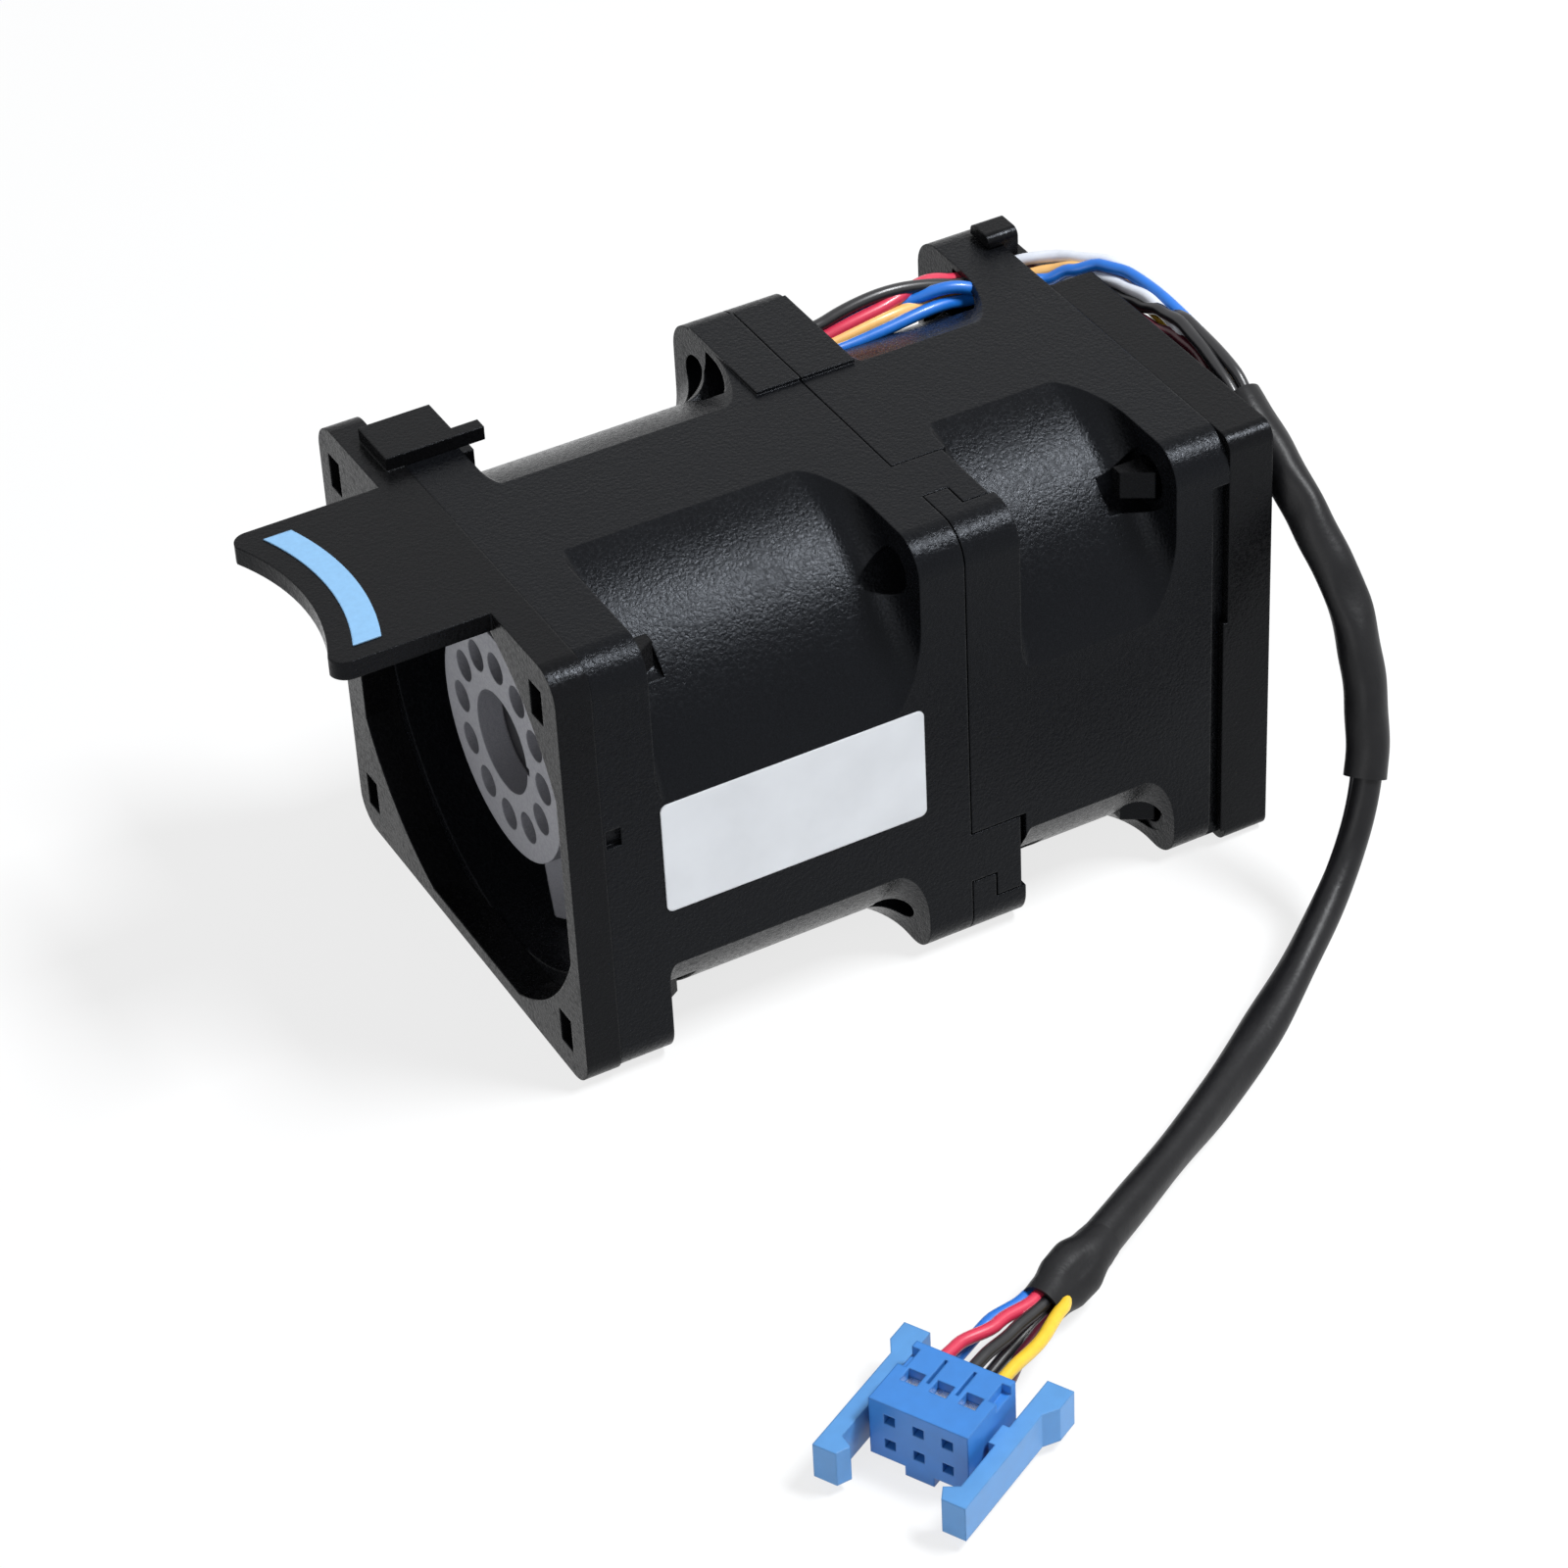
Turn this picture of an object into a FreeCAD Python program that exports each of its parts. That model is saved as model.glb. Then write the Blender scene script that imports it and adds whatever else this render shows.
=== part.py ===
import FreeCAD, Part
import math
import os
import Sketcher

# Server fan module: two 40 mm fans in line that turn opposite ways, a snap-on bracket at each
# end, and one short cable with a latching connector.  Millimetres, +Z up.  X runs along the
# airflow from the finger tab to the outlet.  The origin is on the underside, below the fan
# axis, at the middle of the front fan's joint flange.

doc = FreeCAD.newDocument("server_fan_module")
sheet = doc.addObject("Spreadsheet::Sheet", "sizes")

SIZES = {
    # both fans
    "frame_side": 40.0,
    "flange_corner": 3.0,
    "duct_radius": 18.9,
    "upper_barrel_radius": 20.7,
    "lower_barrel_radius": 22.6,
    "barrel_flare": 3.0,
    "small_flare": 0.8,
    "screw_pitch": 32.0,
    "screw_hole_radius": 1.9,
    "strut_width": 1.2,
    "strut_depth": 4.0,
    "strut_count": 5,
    # front fan, from the joint with the rear fan
    "front_fan_length": 32.0,
    "front_free_flange": 4.7,
    "front_joint_flange": 4.0,
    "front_base_depth": 6.5,
    "front_core_length": 8.0,
    "front_blade_count": 7,
    "front_blade_reach": 18.0,
    "flange_dent_setback": 0.2,
    "flange_dent_length": 1.3,
    "flange_dent_low": 2.9,
    "flange_dent_high": 4.6,
    "flange_dent_depth": 0.5,
    # rear fan, from the joint with the front fan
    "rear_fan_length": 24.0,
    "rear_free_flange": 4.9,
    "rear_joint_flange": 4.9,
    "rear_base_depth": 5.2,
    "rear_core_length": 5.2,
    "rear_blade_count": 5,
    "rear_blade_reach": 12.5,
    # bayonet hooks at the joint of the two fans
    "seam_gap": 0.12,
    "hook_depth": 1.2,
    "hook_near": 9.0,
    "hook_neck": 4.7,
    "hook_head": 2.3,
    "hook_length": 4.5,
    "hook_head_length": 2.2,
    "hook_clearance": 0.15,
    # wire channel in the upper far corner of the flanges
    "wire_channel_y": 12.6,
    "wire_channel_z": 18.15,
    "channel_inward": 4.6,
    "channel_outward": 1.6,
    "channel_rise": 1.3,
    "channel_drop": 1.85,
    "lead_bundle_radius": 1.2,
    "lead_start": 1.5,
    "channel_pad_height": 0.3,
    "channel_pad_near": 5.5,
    "channel_pad_far": 16.9,
    "outlet_rebate_depth": 0.8,
    "outlet_rebate_width": 1.5,
    "outlet_rebate_top": 16.0,
    "skirt_reach": 0.4,
    "skirt_top": 2.5,
    # motors
    "hub_radius": 10.2,
    "hub_wall": 0.8,
    "hub_end_wall": 2.2,
    "hub_setback": 1.0,
    "hub_gap": 0.8,
    "tip_gap": 0.4,
    "balance_hole_radius": 1.35,
    "balance_hole_circle": 7.2,
    "balance_hole_count": 12,
    "hub_bore_radius": 4.4,
    "yoke_wall": 0.6,
    "magnet_wall": 1.15,
    "air_gap": 0.3,
    "shaft_radius": 1.5,
    "bush_radius": 3.0,
    "bush_length": 3.0,
    "bearing_radius": 3.5,
    "bearing_width": 3.0,
    "bearing_tube_wall": 0.6,
    "base_wall": 1.0,
    "base_floor": 1.5,
    "board_thickness": 1.0,
    "core_ring": 1.3,
    "tooth_width": 1.4,
    "tooth_count": 6,
    "winding_build": 0.7,
    "clip_thickness": 0.5,
    "clip_radius": 2.4,
    "push_clearance": 0.02,
    "face_clearance": 0.3,
    # brackets
    "front_bracket_thickness": 3.0,
    "rear_bracket_thickness": 4.0,
    "bracket_far_overhang": 1.8,
    "front_bracket_corner": 2.6,
    "rear_bracket_corner": 1.4,
    "opening_radius": 20.2,
    "opening_trim": 1.6,
    "window_width": 2.0,
    "window_height": 3.2,
    "window_near_y": 16.6,
    "window_far_y": 19.0,
    "window_z": 16.0,
    "post_inset": 1.3,
    "post_thickness": 1.0,
    "post_width": 2.4,
    "post_head_length": 2.4,
    "post_head_rise": 2.0,
    "post_relief_radius": 2.6,
    # finger tab and its colour mark
    "tab_length": 12.8,
    "tab_near_y": 9.7,
    "tab_far_y": 10.0,
    "tab_thickness": 1.6,
    "tab_end_dip": 1.9,
    "tab_corner": 1.4,
    "mark_inset": 1.9,
    "mark_width": 2.2,
    "mark_margin": 1.7,
    "mark_thickness": 0.1,
    # front bracket tongue and rear bracket lug in the upper far corner
    "tongue_near_y": 11.6,
    "tongue_far_y": 16.8,
    "tongue_height": 1.2,
    "tongue_finger_reach": 7.0,
    "tongue_step_y": 12.8,
    "wire_notch_near": 6.9,
    "wire_notch_floor": 16.6,
    "lug_near_y": 14.2,
    "lug_far_y": 17.2,
    "lug_rise": 1.2,
    "lug_overhang": 1.4,
    "lug_reach": 1.4,
    "lug_corner": 0.7,
    # label
    "label_length": 23.1,
    "label_height": 10.3,
    "label_thickness": 0.1,
    "label_corner": 0.6,
    # cable
    "wire_bundle_radius": 1.4,
    "outer_sleeve_radius": 2.2,
    "cable_sleeve_radius": 1.75,
    "sleeve_end_radius": 2.5,
    "connector_bundle_radius": 1.6,
    # connector
    "connector_x": -29.1,
    "connector_y": -68.1,
    "connector_turn": 208.5,
    "housing_length": 6.6,
    "housing_width": 8.2,
    "housing_height": 5.4,
    "housing_lift": 0.9,
    "socket_pitch": 2.4,
    "socket_side": 0.9,
    "socket_depth": 2.2,
    "window_slot_width": 1.4,
    "window_slot_length": 1.3,
    "window_slot_depth": 1.6,
    "latch_length": 13.8,
    "latch_offset": 5.6,
    "latch_width": 1.4,
    "latch_height": 3.2,
    "latch_pad": 0.8,
    "latch_hook": 1.1,
    "web_length": 2.0,
    "web_gap": 0.25,
}

for row, (alias, number) in enumerate(SIZES.items(), start=1):
    sheet.set(f"A{row}", alias)
    sheet.set(f"B{row}", str(number))
    sheet.setAlias(f"B{row}", alias)
doc.recompute()


class Size:
    """A length that knows its number and the sheet expression it comes from."""

    def __init__(self, number, words):
        self.number = number
        self.words = words

    def join(self, other, sign, number):
        return Size(number, f"({self.words} {sign} {sized(other).words})")

    def __add__(self, other):
        return self.join(other, "+", self.number + sized(other).number)

    def __sub__(self, other):
        return self.join(other, "-", self.number - sized(other).number)

    def __mul__(self, other):
        return self.join(other, "*", self.number * sized(other).number)

    def __truediv__(self, other):
        return self.join(other, "/", self.number / sized(other).number)

    def __radd__(self, other):
        return sized(other) + self

    def __rsub__(self, other):
        return sized(other) - self

    def __rmul__(self, other):
        return sized(other) * self

    def __neg__(self):
        return sized(-1) * self

    def root(self):
        return Size(math.sqrt(self.number), f"sqrt({self.words})")


def sized(value):
    return value if isinstance(value, Size) else Size(float(value), f"({value})")


def cell(alias):
    return Size(float(sheet.get(alias)), f"sizes.{alias}")


def bind(item, target, value):
    item.setExpression(target, sized(value).words)


# ---------------------------------------------------------------- stations and shared values
axis_height = cell("frame_side") / 2
half_side = cell("frame_side") / 2
seam_x = cell("front_joint_flange") / 2
tube_radius = cell("bearing_radius") + cell("push_clearance") + cell("bearing_tube_wall")
blade_tip_radius = cell("duct_radius") - cell("tip_gap")
hub_inside = cell("hub_radius") - cell("hub_wall")
yoke_outside = hub_inside - cell("push_clearance")
yoke_inside = yoke_outside - cell("yoke_wall")
magnet_outside = yoke_inside - cell("push_clearance")
magnet_inside = magnet_outside - cell("magnet_wall")
stator_radius = magnet_inside - cell("air_gap")
hole_offset = cell("screw_pitch") / 2

FRONT = -1
REAR = 1
fans = {
    "front": {"way": FRONT, "length": cell("front_fan_length"), "hand": 1,
              "free_flange": cell("front_free_flange"), "joint_flange": cell("front_joint_flange"),
              "base": cell("front_base_depth"), "core": cell("front_core_length"),
              "joint_flare": cell("barrel_flare"), "free_flare": cell("small_flare"),
              "blades": cell("front_blade_count"), "reach": cell("front_blade_reach")},
    "rear": {"way": REAR, "length": cell("rear_fan_length"), "hand": -1,
             "free_flange": cell("rear_free_flange"), "joint_flange": cell("rear_joint_flange"),
             "base": cell("rear_base_depth"), "core": cell("rear_core_length"),
             "joint_flare": cell("small_flare"), "free_flare": cell("barrel_flare"),
             "blades": cell("rear_blade_count"), "reach": cell("rear_blade_reach")},
}
for fan in fans.values():
    fan["hub_base"] = fan["base"] + cell("hub_gap")
    fan["hub_face"] = fan["length"] - cell("hub_setback")
    fan["yoke_face"] = fan["hub_face"] - cell("hub_end_wall")
    fan["yoke_base"] = fan["hub_base"] + 1.0
    fan["tube_end"] = fan["yoke_face"] - cell("bush_length") + 0.2
    fan["core_start"] = (fan["yoke_base"] + fan["tube_end"] - fan["core"]) / 2
    fan["bearing_low"] = fan["hub_base"] + 0.9
    fan["bearing_high"] = fan["tube_end"] - cell("bearing_width") - cell("face_clearance")

parts = {}


def keep(label, item):
    """Name a finished sub-part; the label is also its file name."""
    item.Label = label
    parts[label] = item
    return item


def place(item, x=0, y=0, z=0, turn=0):
    item.Placement = FreeCAD.Placement(FreeCAD.Vector(0, 0, 0), FreeCAD.Rotation(turn, 0, 0))
    bind(item, ".Placement.Base.x", x)
    bind(item, ".Placement.Base.y", y)
    bind(item, ".Placement.Base.z", z)


# ------------------------------------------------------------------------- sketch and feature
def new_body(name):
    return doc.addObject("PartDesign::Body", name)


def plane(body, role):
    return next(item for item in body.Origin.OriginFeatures if item.Role == role)


def new_sketch(body, name, role, offset=0):
    sketch = body.newObject("Sketcher::SketchObject", name)
    sketch.AttachmentSupport = [(plane(body, role), "")]
    sketch.MapMode = "FlatFace"
    bind(sketch, ".AttachmentOffset.Base.z", offset)
    return sketch


def pin_point(sketch, geometry, point, x, y):
    """Tie one point of a sketch to the origin by two expressions."""
    for kind, value in (("DistanceX", sized(x)), ("DistanceY", sized(y))):
        if abs(value.number) < 1e-9:
            axis = -2 if kind == "DistanceX" else -1
            sketch.addConstraint(Sketcher.Constraint("PointOnObject", geometry, point, axis))
        else:
            rule = Sketcher.Constraint(kind, -1, 1, geometry, point, value.number)
            bind(sketch, f"Constraints[{sketch.addConstraint(rule)}]", value)


def arc_through(start, end, radius, side):
    """The short arc from start to end; side is +1 where it bulges to the left of the chord."""
    chord = end - start
    height = math.sqrt(max(radius * radius - chord.Length * chord.Length / 4, 0))
    left = FreeCAD.Vector(-chord.y, chord.x, 0).normalize()
    middle = (start + end) * 0.5
    top = middle - left * height * side + left * radius * side
    return Part.Arc(end, top, start) if side > 0 else Part.Arc(start, top, end)


def outline(sketch, corners):
    """A closed loop.  A corner is (x, y), or (x, y, radius, side) where an arc leads on to the next."""
    spots = [FreeCAD.Vector(sized(c[0]).number, sized(c[1]).number, 0) for c in corners]
    count = len(corners)
    lines = []
    for index, corner in enumerate(corners):
        start, end = spots[index], spots[(index + 1) % count]
        if len(corner) == 4:
            edge = arc_through(start, end, sized(corner[2]).number, corner[3])
            lines.append(sketch.addGeometry(edge, False))
        else:
            lines.append(sketch.addGeometry(Part.LineSegment(start, end), False))
    for index, corner in enumerate(corners):
        line = lines[index]
        first = 1
        if len(corner) == 4:
            first = 2 if corner[3] > 0 else 1
            rule = Sketcher.Constraint("Radius", line, sized(corner[2]).number)
            bind(sketch, f"Constraints[{sketch.addConstraint(rule)}]", corner[2])
        pin_point(sketch, line, first, corner[0], corner[1])
        following = corners[(index + 1) % count]
        pin_point(sketch, line, 3 - first, following[0], following[1])


def circle(sketch, x, y, radius):
    centre = FreeCAD.Vector(sized(x).number, sized(y).number, 0)
    ring = Part.Circle(centre, FreeCAD.Vector(0, 0, 1), sized(radius).number)
    line = sketch.addGeometry(ring, False)
    rule = Sketcher.Constraint("Radius", line, sized(radius).number)
    bind(sketch, f"Constraints[{sketch.addConstraint(rule)}]", radius)
    pin_point(sketch, line, 3, x, y)


def rectangle(sketch, x_low, y_low, x_high, y_high):
    outline(sketch, [(x_low, y_low), (x_high, y_low), (x_high, y_high), (x_low, y_high)])


def feature(body, kind, name, sketch, **settings):
    item = body.newObject(f"PartDesign::{kind}", name)
    item.Profile = sketch
    for key, value in settings.items():
        if isinstance(value, Size):
            bind(item, key, value)
        else:
            setattr(item, key, value)
    sketch.Visibility = False
    return item


def pad(body, name, sketch, length, back=False):
    return feature(body, "Pad", name, sketch, Length=sized(length), Reversed=back)


def cut_both_ways(body, name, sketch, reach):
    return feature(body, "Pocket", name, sketch, Length=2 * sized(reach), Midplane=True)


def revolve(body, name, sketch, kind="Revolution", angle=360.0):
    item = feature(body, kind, name, sketch, Angle=angle, Midplane=angle < 360.0)
    item.ReferenceAxis = (sketch, ["H_Axis"])
    return item


def around_axis(body, name, features, count):
    item = body.newObject("PartDesign::PolarPattern", name)
    item.Originals = features
    item.Axis = (plane(body, "X_Axis"), [""])
    item.Angle = 360.0
    bind(item, "Occurrences", count)
    body.Tip = item
    return item


def edges_where(shape, test):
    return [f"Edge{number}" for number, edge in enumerate(shape.Edges, start=1) if test(edge)]


def round_edges(body, name, base, radius, test, kind="Fillet"):
    doc.recompute()
    item = body.newObject(f"PartDesign::{kind}", name)
    item.Base = (base, edges_where(base.Shape, test))
    bind(item, "Radius" if kind == "Fillet" else "Size", radius)
    body.Tip = item
    doc.recompute()
    return item


def runs_along_x(edge, y_from=None):
    """True for a straight edge parallel to X on the outer corners of a square plate."""
    if len(edge.Vertexes) != 2 or edge.Curve.TypeId != "Part::GeomLine":
        return False
    start, end = edge.Vertexes[0].Point, edge.Vertexes[1].Point
    level = abs(start.y - end.y) < 1e-6 and abs(start.z - end.z) < 1e-6
    return level and (y_from is None or abs(start.y) > y_from and abs(start.z) > y_from)


# ---------------------------------------------------------------------------- the fan housings
def along(way, distance):
    return distance * way


def cut_holes(body, name, middle_x, reach, radius):
    """Four round holes at the screw positions, cut by half of reach to each side of middle_x."""
    sketch = new_sketch(body, f"{name}_outline", "YZ_Plane", middle_x)
    for y_side in (-1, 1):
        for z_side in (-1, 1):
            circle(sketch, hole_offset * y_side, hole_offset * z_side, radius)
    return cut_both_ways(body, name, sketch, reach / 2)


def barrel_groove(body, name, fan, radius, side):
    """Turn the square block down to a round barrel between the flanges, above or below the axis."""
    way = fan["way"]
    near, far = fan["joint_flange"], fan["length"] - fan["free_flange"]
    outer = cell("frame_side") * 0.75
    bulge = -way * side
    corners = [
        (along(way, near), outer * side),
        (along(way, near), (radius + fan["joint_flare"]) * side, fan["joint_flare"], bulge),
        (along(way, near + fan["joint_flare"]), radius * side),
        (along(way, far - fan["free_flare"]), radius * side, fan["free_flare"], bulge),
        (along(way, far), (radius + fan["free_flare"]) * side),
        (along(way, far), outer * side),
    ]
    sketch = new_sketch(body, f"{name}_outline", "XZ_Plane")
    outline(sketch, corners)
    return revolve(body, name, sketch, "Groove", 180.0)


def motor_base(body, name, fan):
    """The cup that carries the motor, held to the duct wall by flat struts."""
    way, base = fan["way"], fan["base"]
    root = cell("hub_radius") - cell("base_wall") / 2
    sketch = new_sketch(body, f"{name}_strut_outline", "XY_Plane", root)
    edge = cell("strut_width") / 2
    rectangle(sketch, 0, -edge, along(way, cell("strut_depth")), edge)
    strut = pad(body, f"{name}_strut", sketch, cell("duct_radius") - root + cell("strut_width") / 2)
    around_axis(body, f"{name}_struts", [strut], cell("strut_count"))
    bore = tube_radius + cell("push_clearance")
    wall_inside = cell("hub_radius") - cell("base_wall")
    boss = bore + cell("base_wall")
    seat = base - 2 * cell("board_thickness")
    cup = new_sketch(body, f"{name}_cup_outline", "XZ_Plane")
    outline(cup, [
        (0, bore),
        (0, cell("hub_radius")),
        (along(way, base), cell("hub_radius")),
        (along(way, base), wall_inside),
        (along(way, cell("base_floor")), wall_inside),
        (along(way, cell("base_floor")), boss),
        (along(way, seat), boss),
        (along(way, seat), bore),
    ])
    revolve(body, f"{name}_cup", cup)


def wire_channel(body, name, middle_x, reach):
    """The three-cornered opening that carries the wires through a flange."""
    y, z = cell("wire_channel_y"), cell("wire_channel_z")
    sketch = new_sketch(body, f"{name}_outline", "YZ_Plane", middle_x)
    outline(sketch, [
        (y - cell("channel_inward"), z + cell("channel_rise")),
        (y + cell("channel_outward"), z + cell("channel_rise")),
        (y + cell("channel_outward"), z - cell("channel_rise") / 2),
        (y - cell("channel_rise") / 3, z - cell("channel_drop")),
    ])
    return cut_both_ways(body, name, sketch, reach / 2)


def hook_corners(clearance, reach):
    near = cell("hook_near") - clearance
    neck = cell("hook_near") + cell("hook_neck") + clearance
    head = neck + cell("hook_head")
    start = cell("hook_length") - cell("hook_head_length") - clearance
    overlap = -cell("hook_depth") / 2
    return [(overlap, -near), (reach, -near), (reach, -head), (start, -head), (start, -neck),
            (overlap, -neck)]


def fan_frame(name):
    fan = fans[name]
    way, length = fan["way"], fan["length"]
    body = new_body(f"{name}_fan_frame")
    parting = cell("seam_gap") / 2
    block = new_sketch(body, f"{name}_block_outline", "YZ_Plane", along(way, parting))
    rectangle(block, -half_side, -half_side, half_side, half_side)
    solid = pad(body, f"{name}_block", block, length - parting, back=way == FRONT)
    corner = half_side.number - cell("flange_corner").number
    round_edges(body, f"{name}_corners", solid, cell("flange_corner"),
                lambda edge: runs_along_x(edge, corner))
    barrel_groove(body, f"{name}_upper_barrel", fan, cell("upper_barrel_radius"), 1)
    barrel_groove(body, f"{name}_lower_barrel", fan, cell("lower_barrel_radius"), -1)
    duct = new_sketch(body, f"{name}_duct_outline", "XZ_Plane")
    rectangle(duct, 0, 0, along(way, length), cell("duct_radius"))
    revolve(body, f"{name}_duct", duct, "Groove")
    joint, free = fan["joint_flange"], fan["free_flange"]
    relief = cell("post_head_length") + cell("post_thickness")
    cut_holes(body, f"{name}_joint_holes", along(way, joint / 2), joint, cell("screw_hole_radius"))
    cut_holes(body, f"{name}_free_holes", along(way, length - free / 2), free,
              cell("screw_hole_radius"))
    cut_holes(body, f"{name}_joint_relief", along(way, joint + relief / 2), relief,
              cell("screw_hole_radius"))
    cut_holes(body, f"{name}_free_relief", along(way, length - free - relief / 2), relief,
              cell("post_relief_radius"))
    last = motor_base(body, name, fan)
    top_pad = new_sketch(body, f"{name}_channel_pad_outline", "YZ_Plane", along(way, parting))
    rectangle(top_pad, cell("channel_pad_near"), half_side - cell("channel_pad_height"),
              cell("channel_pad_far"), half_side + cell("channel_pad_height"))
    pad(body, f"{name}_channel_pad", top_pad, joint - parting, back=way == FRONT)
    wire_channel(body, f"{name}_joint_channel", along(way, joint / 2),
                 joint + 2 * fan["joint_flare"])
    if name == "rear":
        wire_channel(body, "rear_free_channel", along(way, length - free / 2),
                     free + 2 * fan["free_flare"])
        groove = new_sketch(body, "lead_groove_outline", "YZ_Plane", length / 2)
        circle(groove, cell("wire_channel_y"), cell("wire_channel_z"),
               cell("lead_bundle_radius") + cell("push_clearance"))
        cut_both_ways(body, "lead_groove", groove, length / 2)
        slots = new_sketch(body, "hook_slot_outline", "XY_Plane", half_side)
        slot_end = joint + cell("hook_clearance")
        outline(slots, hook_corners(cell("hook_clearance"), slot_end))
        slot = cut_both_ways(body, "hook_slot", slots, cell("hook_depth") + cell("hook_clearance"))
        around_axis(body, "hook_slots", [slot], 4)
        rebate = new_sketch(body, "outlet_rebate_outline", "YZ_Plane", length)
        shoulder = half_side - cell("outlet_rebate_depth")
        below = -half_side - 1
        rectangle(rebate, below, below, -shoulder, cell("outlet_rebate_top"))
        rectangle(rebate, shoulder, below, -below, cell("outlet_rebate_top"))
        cut_both_ways(body, "outlet_rebate", rebate, cell("outlet_rebate_width"))
    else:
        hooks = new_sketch(body, "hook_outline", "XY_Plane", half_side - cell("hook_depth"))
        outline(hooks, hook_corners(0, cell("hook_length")))
        hook = pad(body, "hook", hooks, cell("hook_depth"))
        around_axis(body, "hooks", [hook], 4)
        dent = new_sketch(body, "flange_dent_outline", "XZ_Plane", half_side)
        end = -length + cell("flange_dent_setback")
        rectangle(dent, end, cell("flange_dent_low"), end + cell("flange_dent_length"),
                  cell("flange_dent_high"))
        cut_both_ways(body, "flange_dent", dent, cell("flange_dent_depth"))
    place(body, seam_x, 0, axis_height)
    return keep(f"{name}_fan_frame", body)


for fan_name in fans:
    fan_frame(fan_name)


# --------------------------------------------------------------------------------- the brackets
def bracket_plate(body, name, way, thickness, far_sides):
    plate = new_sketch(body, f"{name}_plate_outline", "YZ_Plane")
    far_edge = half_side + cell("bracket_far_overhang")
    rectangle(plate, -half_side, -half_side, far_edge, half_side)
    solid = pad(body, f"{name}_plate", plate, thickness, back=way == FRONT)
    radius = cell(f"{name}_bracket_corner")
    corner = half_side.number - radius.number
    round_edges(body, f"{name}_plate_corners", solid, radius,
                lambda edge: runs_along_x(edge, corner))
    arc = cell("opening_radius")
    flat = arc - cell("opening_trim")
    turn = (arc * arc - flat * flat).root()
    opening = new_sketch(body, f"{name}_opening_outline", "YZ_Plane")
    outline(opening, [
        (flat, -turn), (flat, turn, arc, -1), (turn, flat), (-turn, flat, arc, -1),
        (-flat, turn), (-flat, -turn, arc, -1), (-turn, -flat), (turn, -flat, arc, -1),
    ])
    cut_both_ways(body, f"{name}_opening", opening, thickness)
    windows = new_sketch(body, f"{name}_window_outline", "YZ_Plane")
    half_width, half_height = cell("window_width") / 2, cell("window_height") / 2
    for y, sides in ((-cell("window_near_y"), (-1, 1)), (cell("window_far_y"), far_sides)):
        for side in sides:
            z = cell("window_z") * side
            rectangle(windows, y - half_width, z - half_height, y + half_width, z + half_height)
    cut_both_ways(body, f"{name}_windows", windows, thickness)


def snap_posts(body, name, way, flange):
    """Four barbed posts that pass through the flange's corner holes and catch behind it."""
    inward = -way
    inner = hole_offset - cell("post_inset")
    outer = inner + cell("post_thickness")
    catch = flange + cell("hook_clearance")
    tip = catch + cell("post_head_length")
    start = -cell("post_thickness") / 2
    for level, side in (("upper", 1), ("lower", -1)):
        middle = hole_offset * side
        sketch = new_sketch(body, f"{name}_{level}_post_outline", "XY_Plane",
                            middle - cell("post_width") / 2)
        for y_side in (-1, 1):
            outline(sketch, [
                (start * inward, inner * y_side),
                (tip * inward, inner * y_side),
                (tip * inward, outer * y_side),
                (catch * inward, (inner + cell("post_head_rise") + cell("post_thickness") / 2) * y_side),
                (catch * inward, outer * y_side),
                (start * inward, outer * y_side),
            ])
        pad(body, f"{name}_{level}_posts", sketch, cell("post_width"))


def front_bracket():
    body = new_body("front_bracket")
    thickness = cell("front_bracket_thickness")
    bracket_plate(body, "front", FRONT, thickness, (-1, 1))
    snap_posts(body, "front", FRONT, fans["front"]["free_flange"])
    tab = new_sketch(body, "tab_outline", "XY_Plane", half_side - cell("tab_thickness"))
    root = -thickness / 2
    near, far, corner = -cell("tab_near_y"), cell("tab_far_y"), cell("tab_corner")
    outline(tab, [
        (root, far), (tab_tip + corner, far, corner, -1),
        (tab_tip, far - corner, tab_end_radius, 1),
        (tab_tip, near + corner, corner, -1), (tab_tip + corner, near), (root, near),
    ])
    pad(body, "finger_tab", tab, cell("tab_thickness"))
    tongue = new_sketch(body, "tongue_outline", "XY_Plane", half_side)
    step = cell("tongue_step_y")
    outline(tongue, [
        (root, cell("tongue_near_y")), (cell("tongue_finger_reach"), cell("tongue_near_y")),
        (cell("tongue_finger_reach"), step), (cell("front_free_flange"), step),
        (cell("front_free_flange"), cell("tongue_far_y")), (root, cell("tongue_far_y")),
    ])
    pad(body, "tongue", tongue, cell("tongue_height"))
    place(body, seam_x - cell("front_fan_length"), 0, axis_height)
    return keep("front_bracket", body)


def lug_outline(body, name, floor):
    """The lug seen along the module: straight sides and two rounded upper corners."""
    near, far, corner = cell("lug_near_y"), cell("lug_far_y"), cell("lug_corner")
    top = half_side + cell("lug_rise")
    sketch = new_sketch(body, f"{name}_outline", "YZ_Plane")
    outline(sketch, [
        (near, floor), (far, floor), (far, top - corner, corner, -1), (far - corner, top),
        (near + corner, top, corner, -1), (near, top - corner),
    ])
    return sketch


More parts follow.
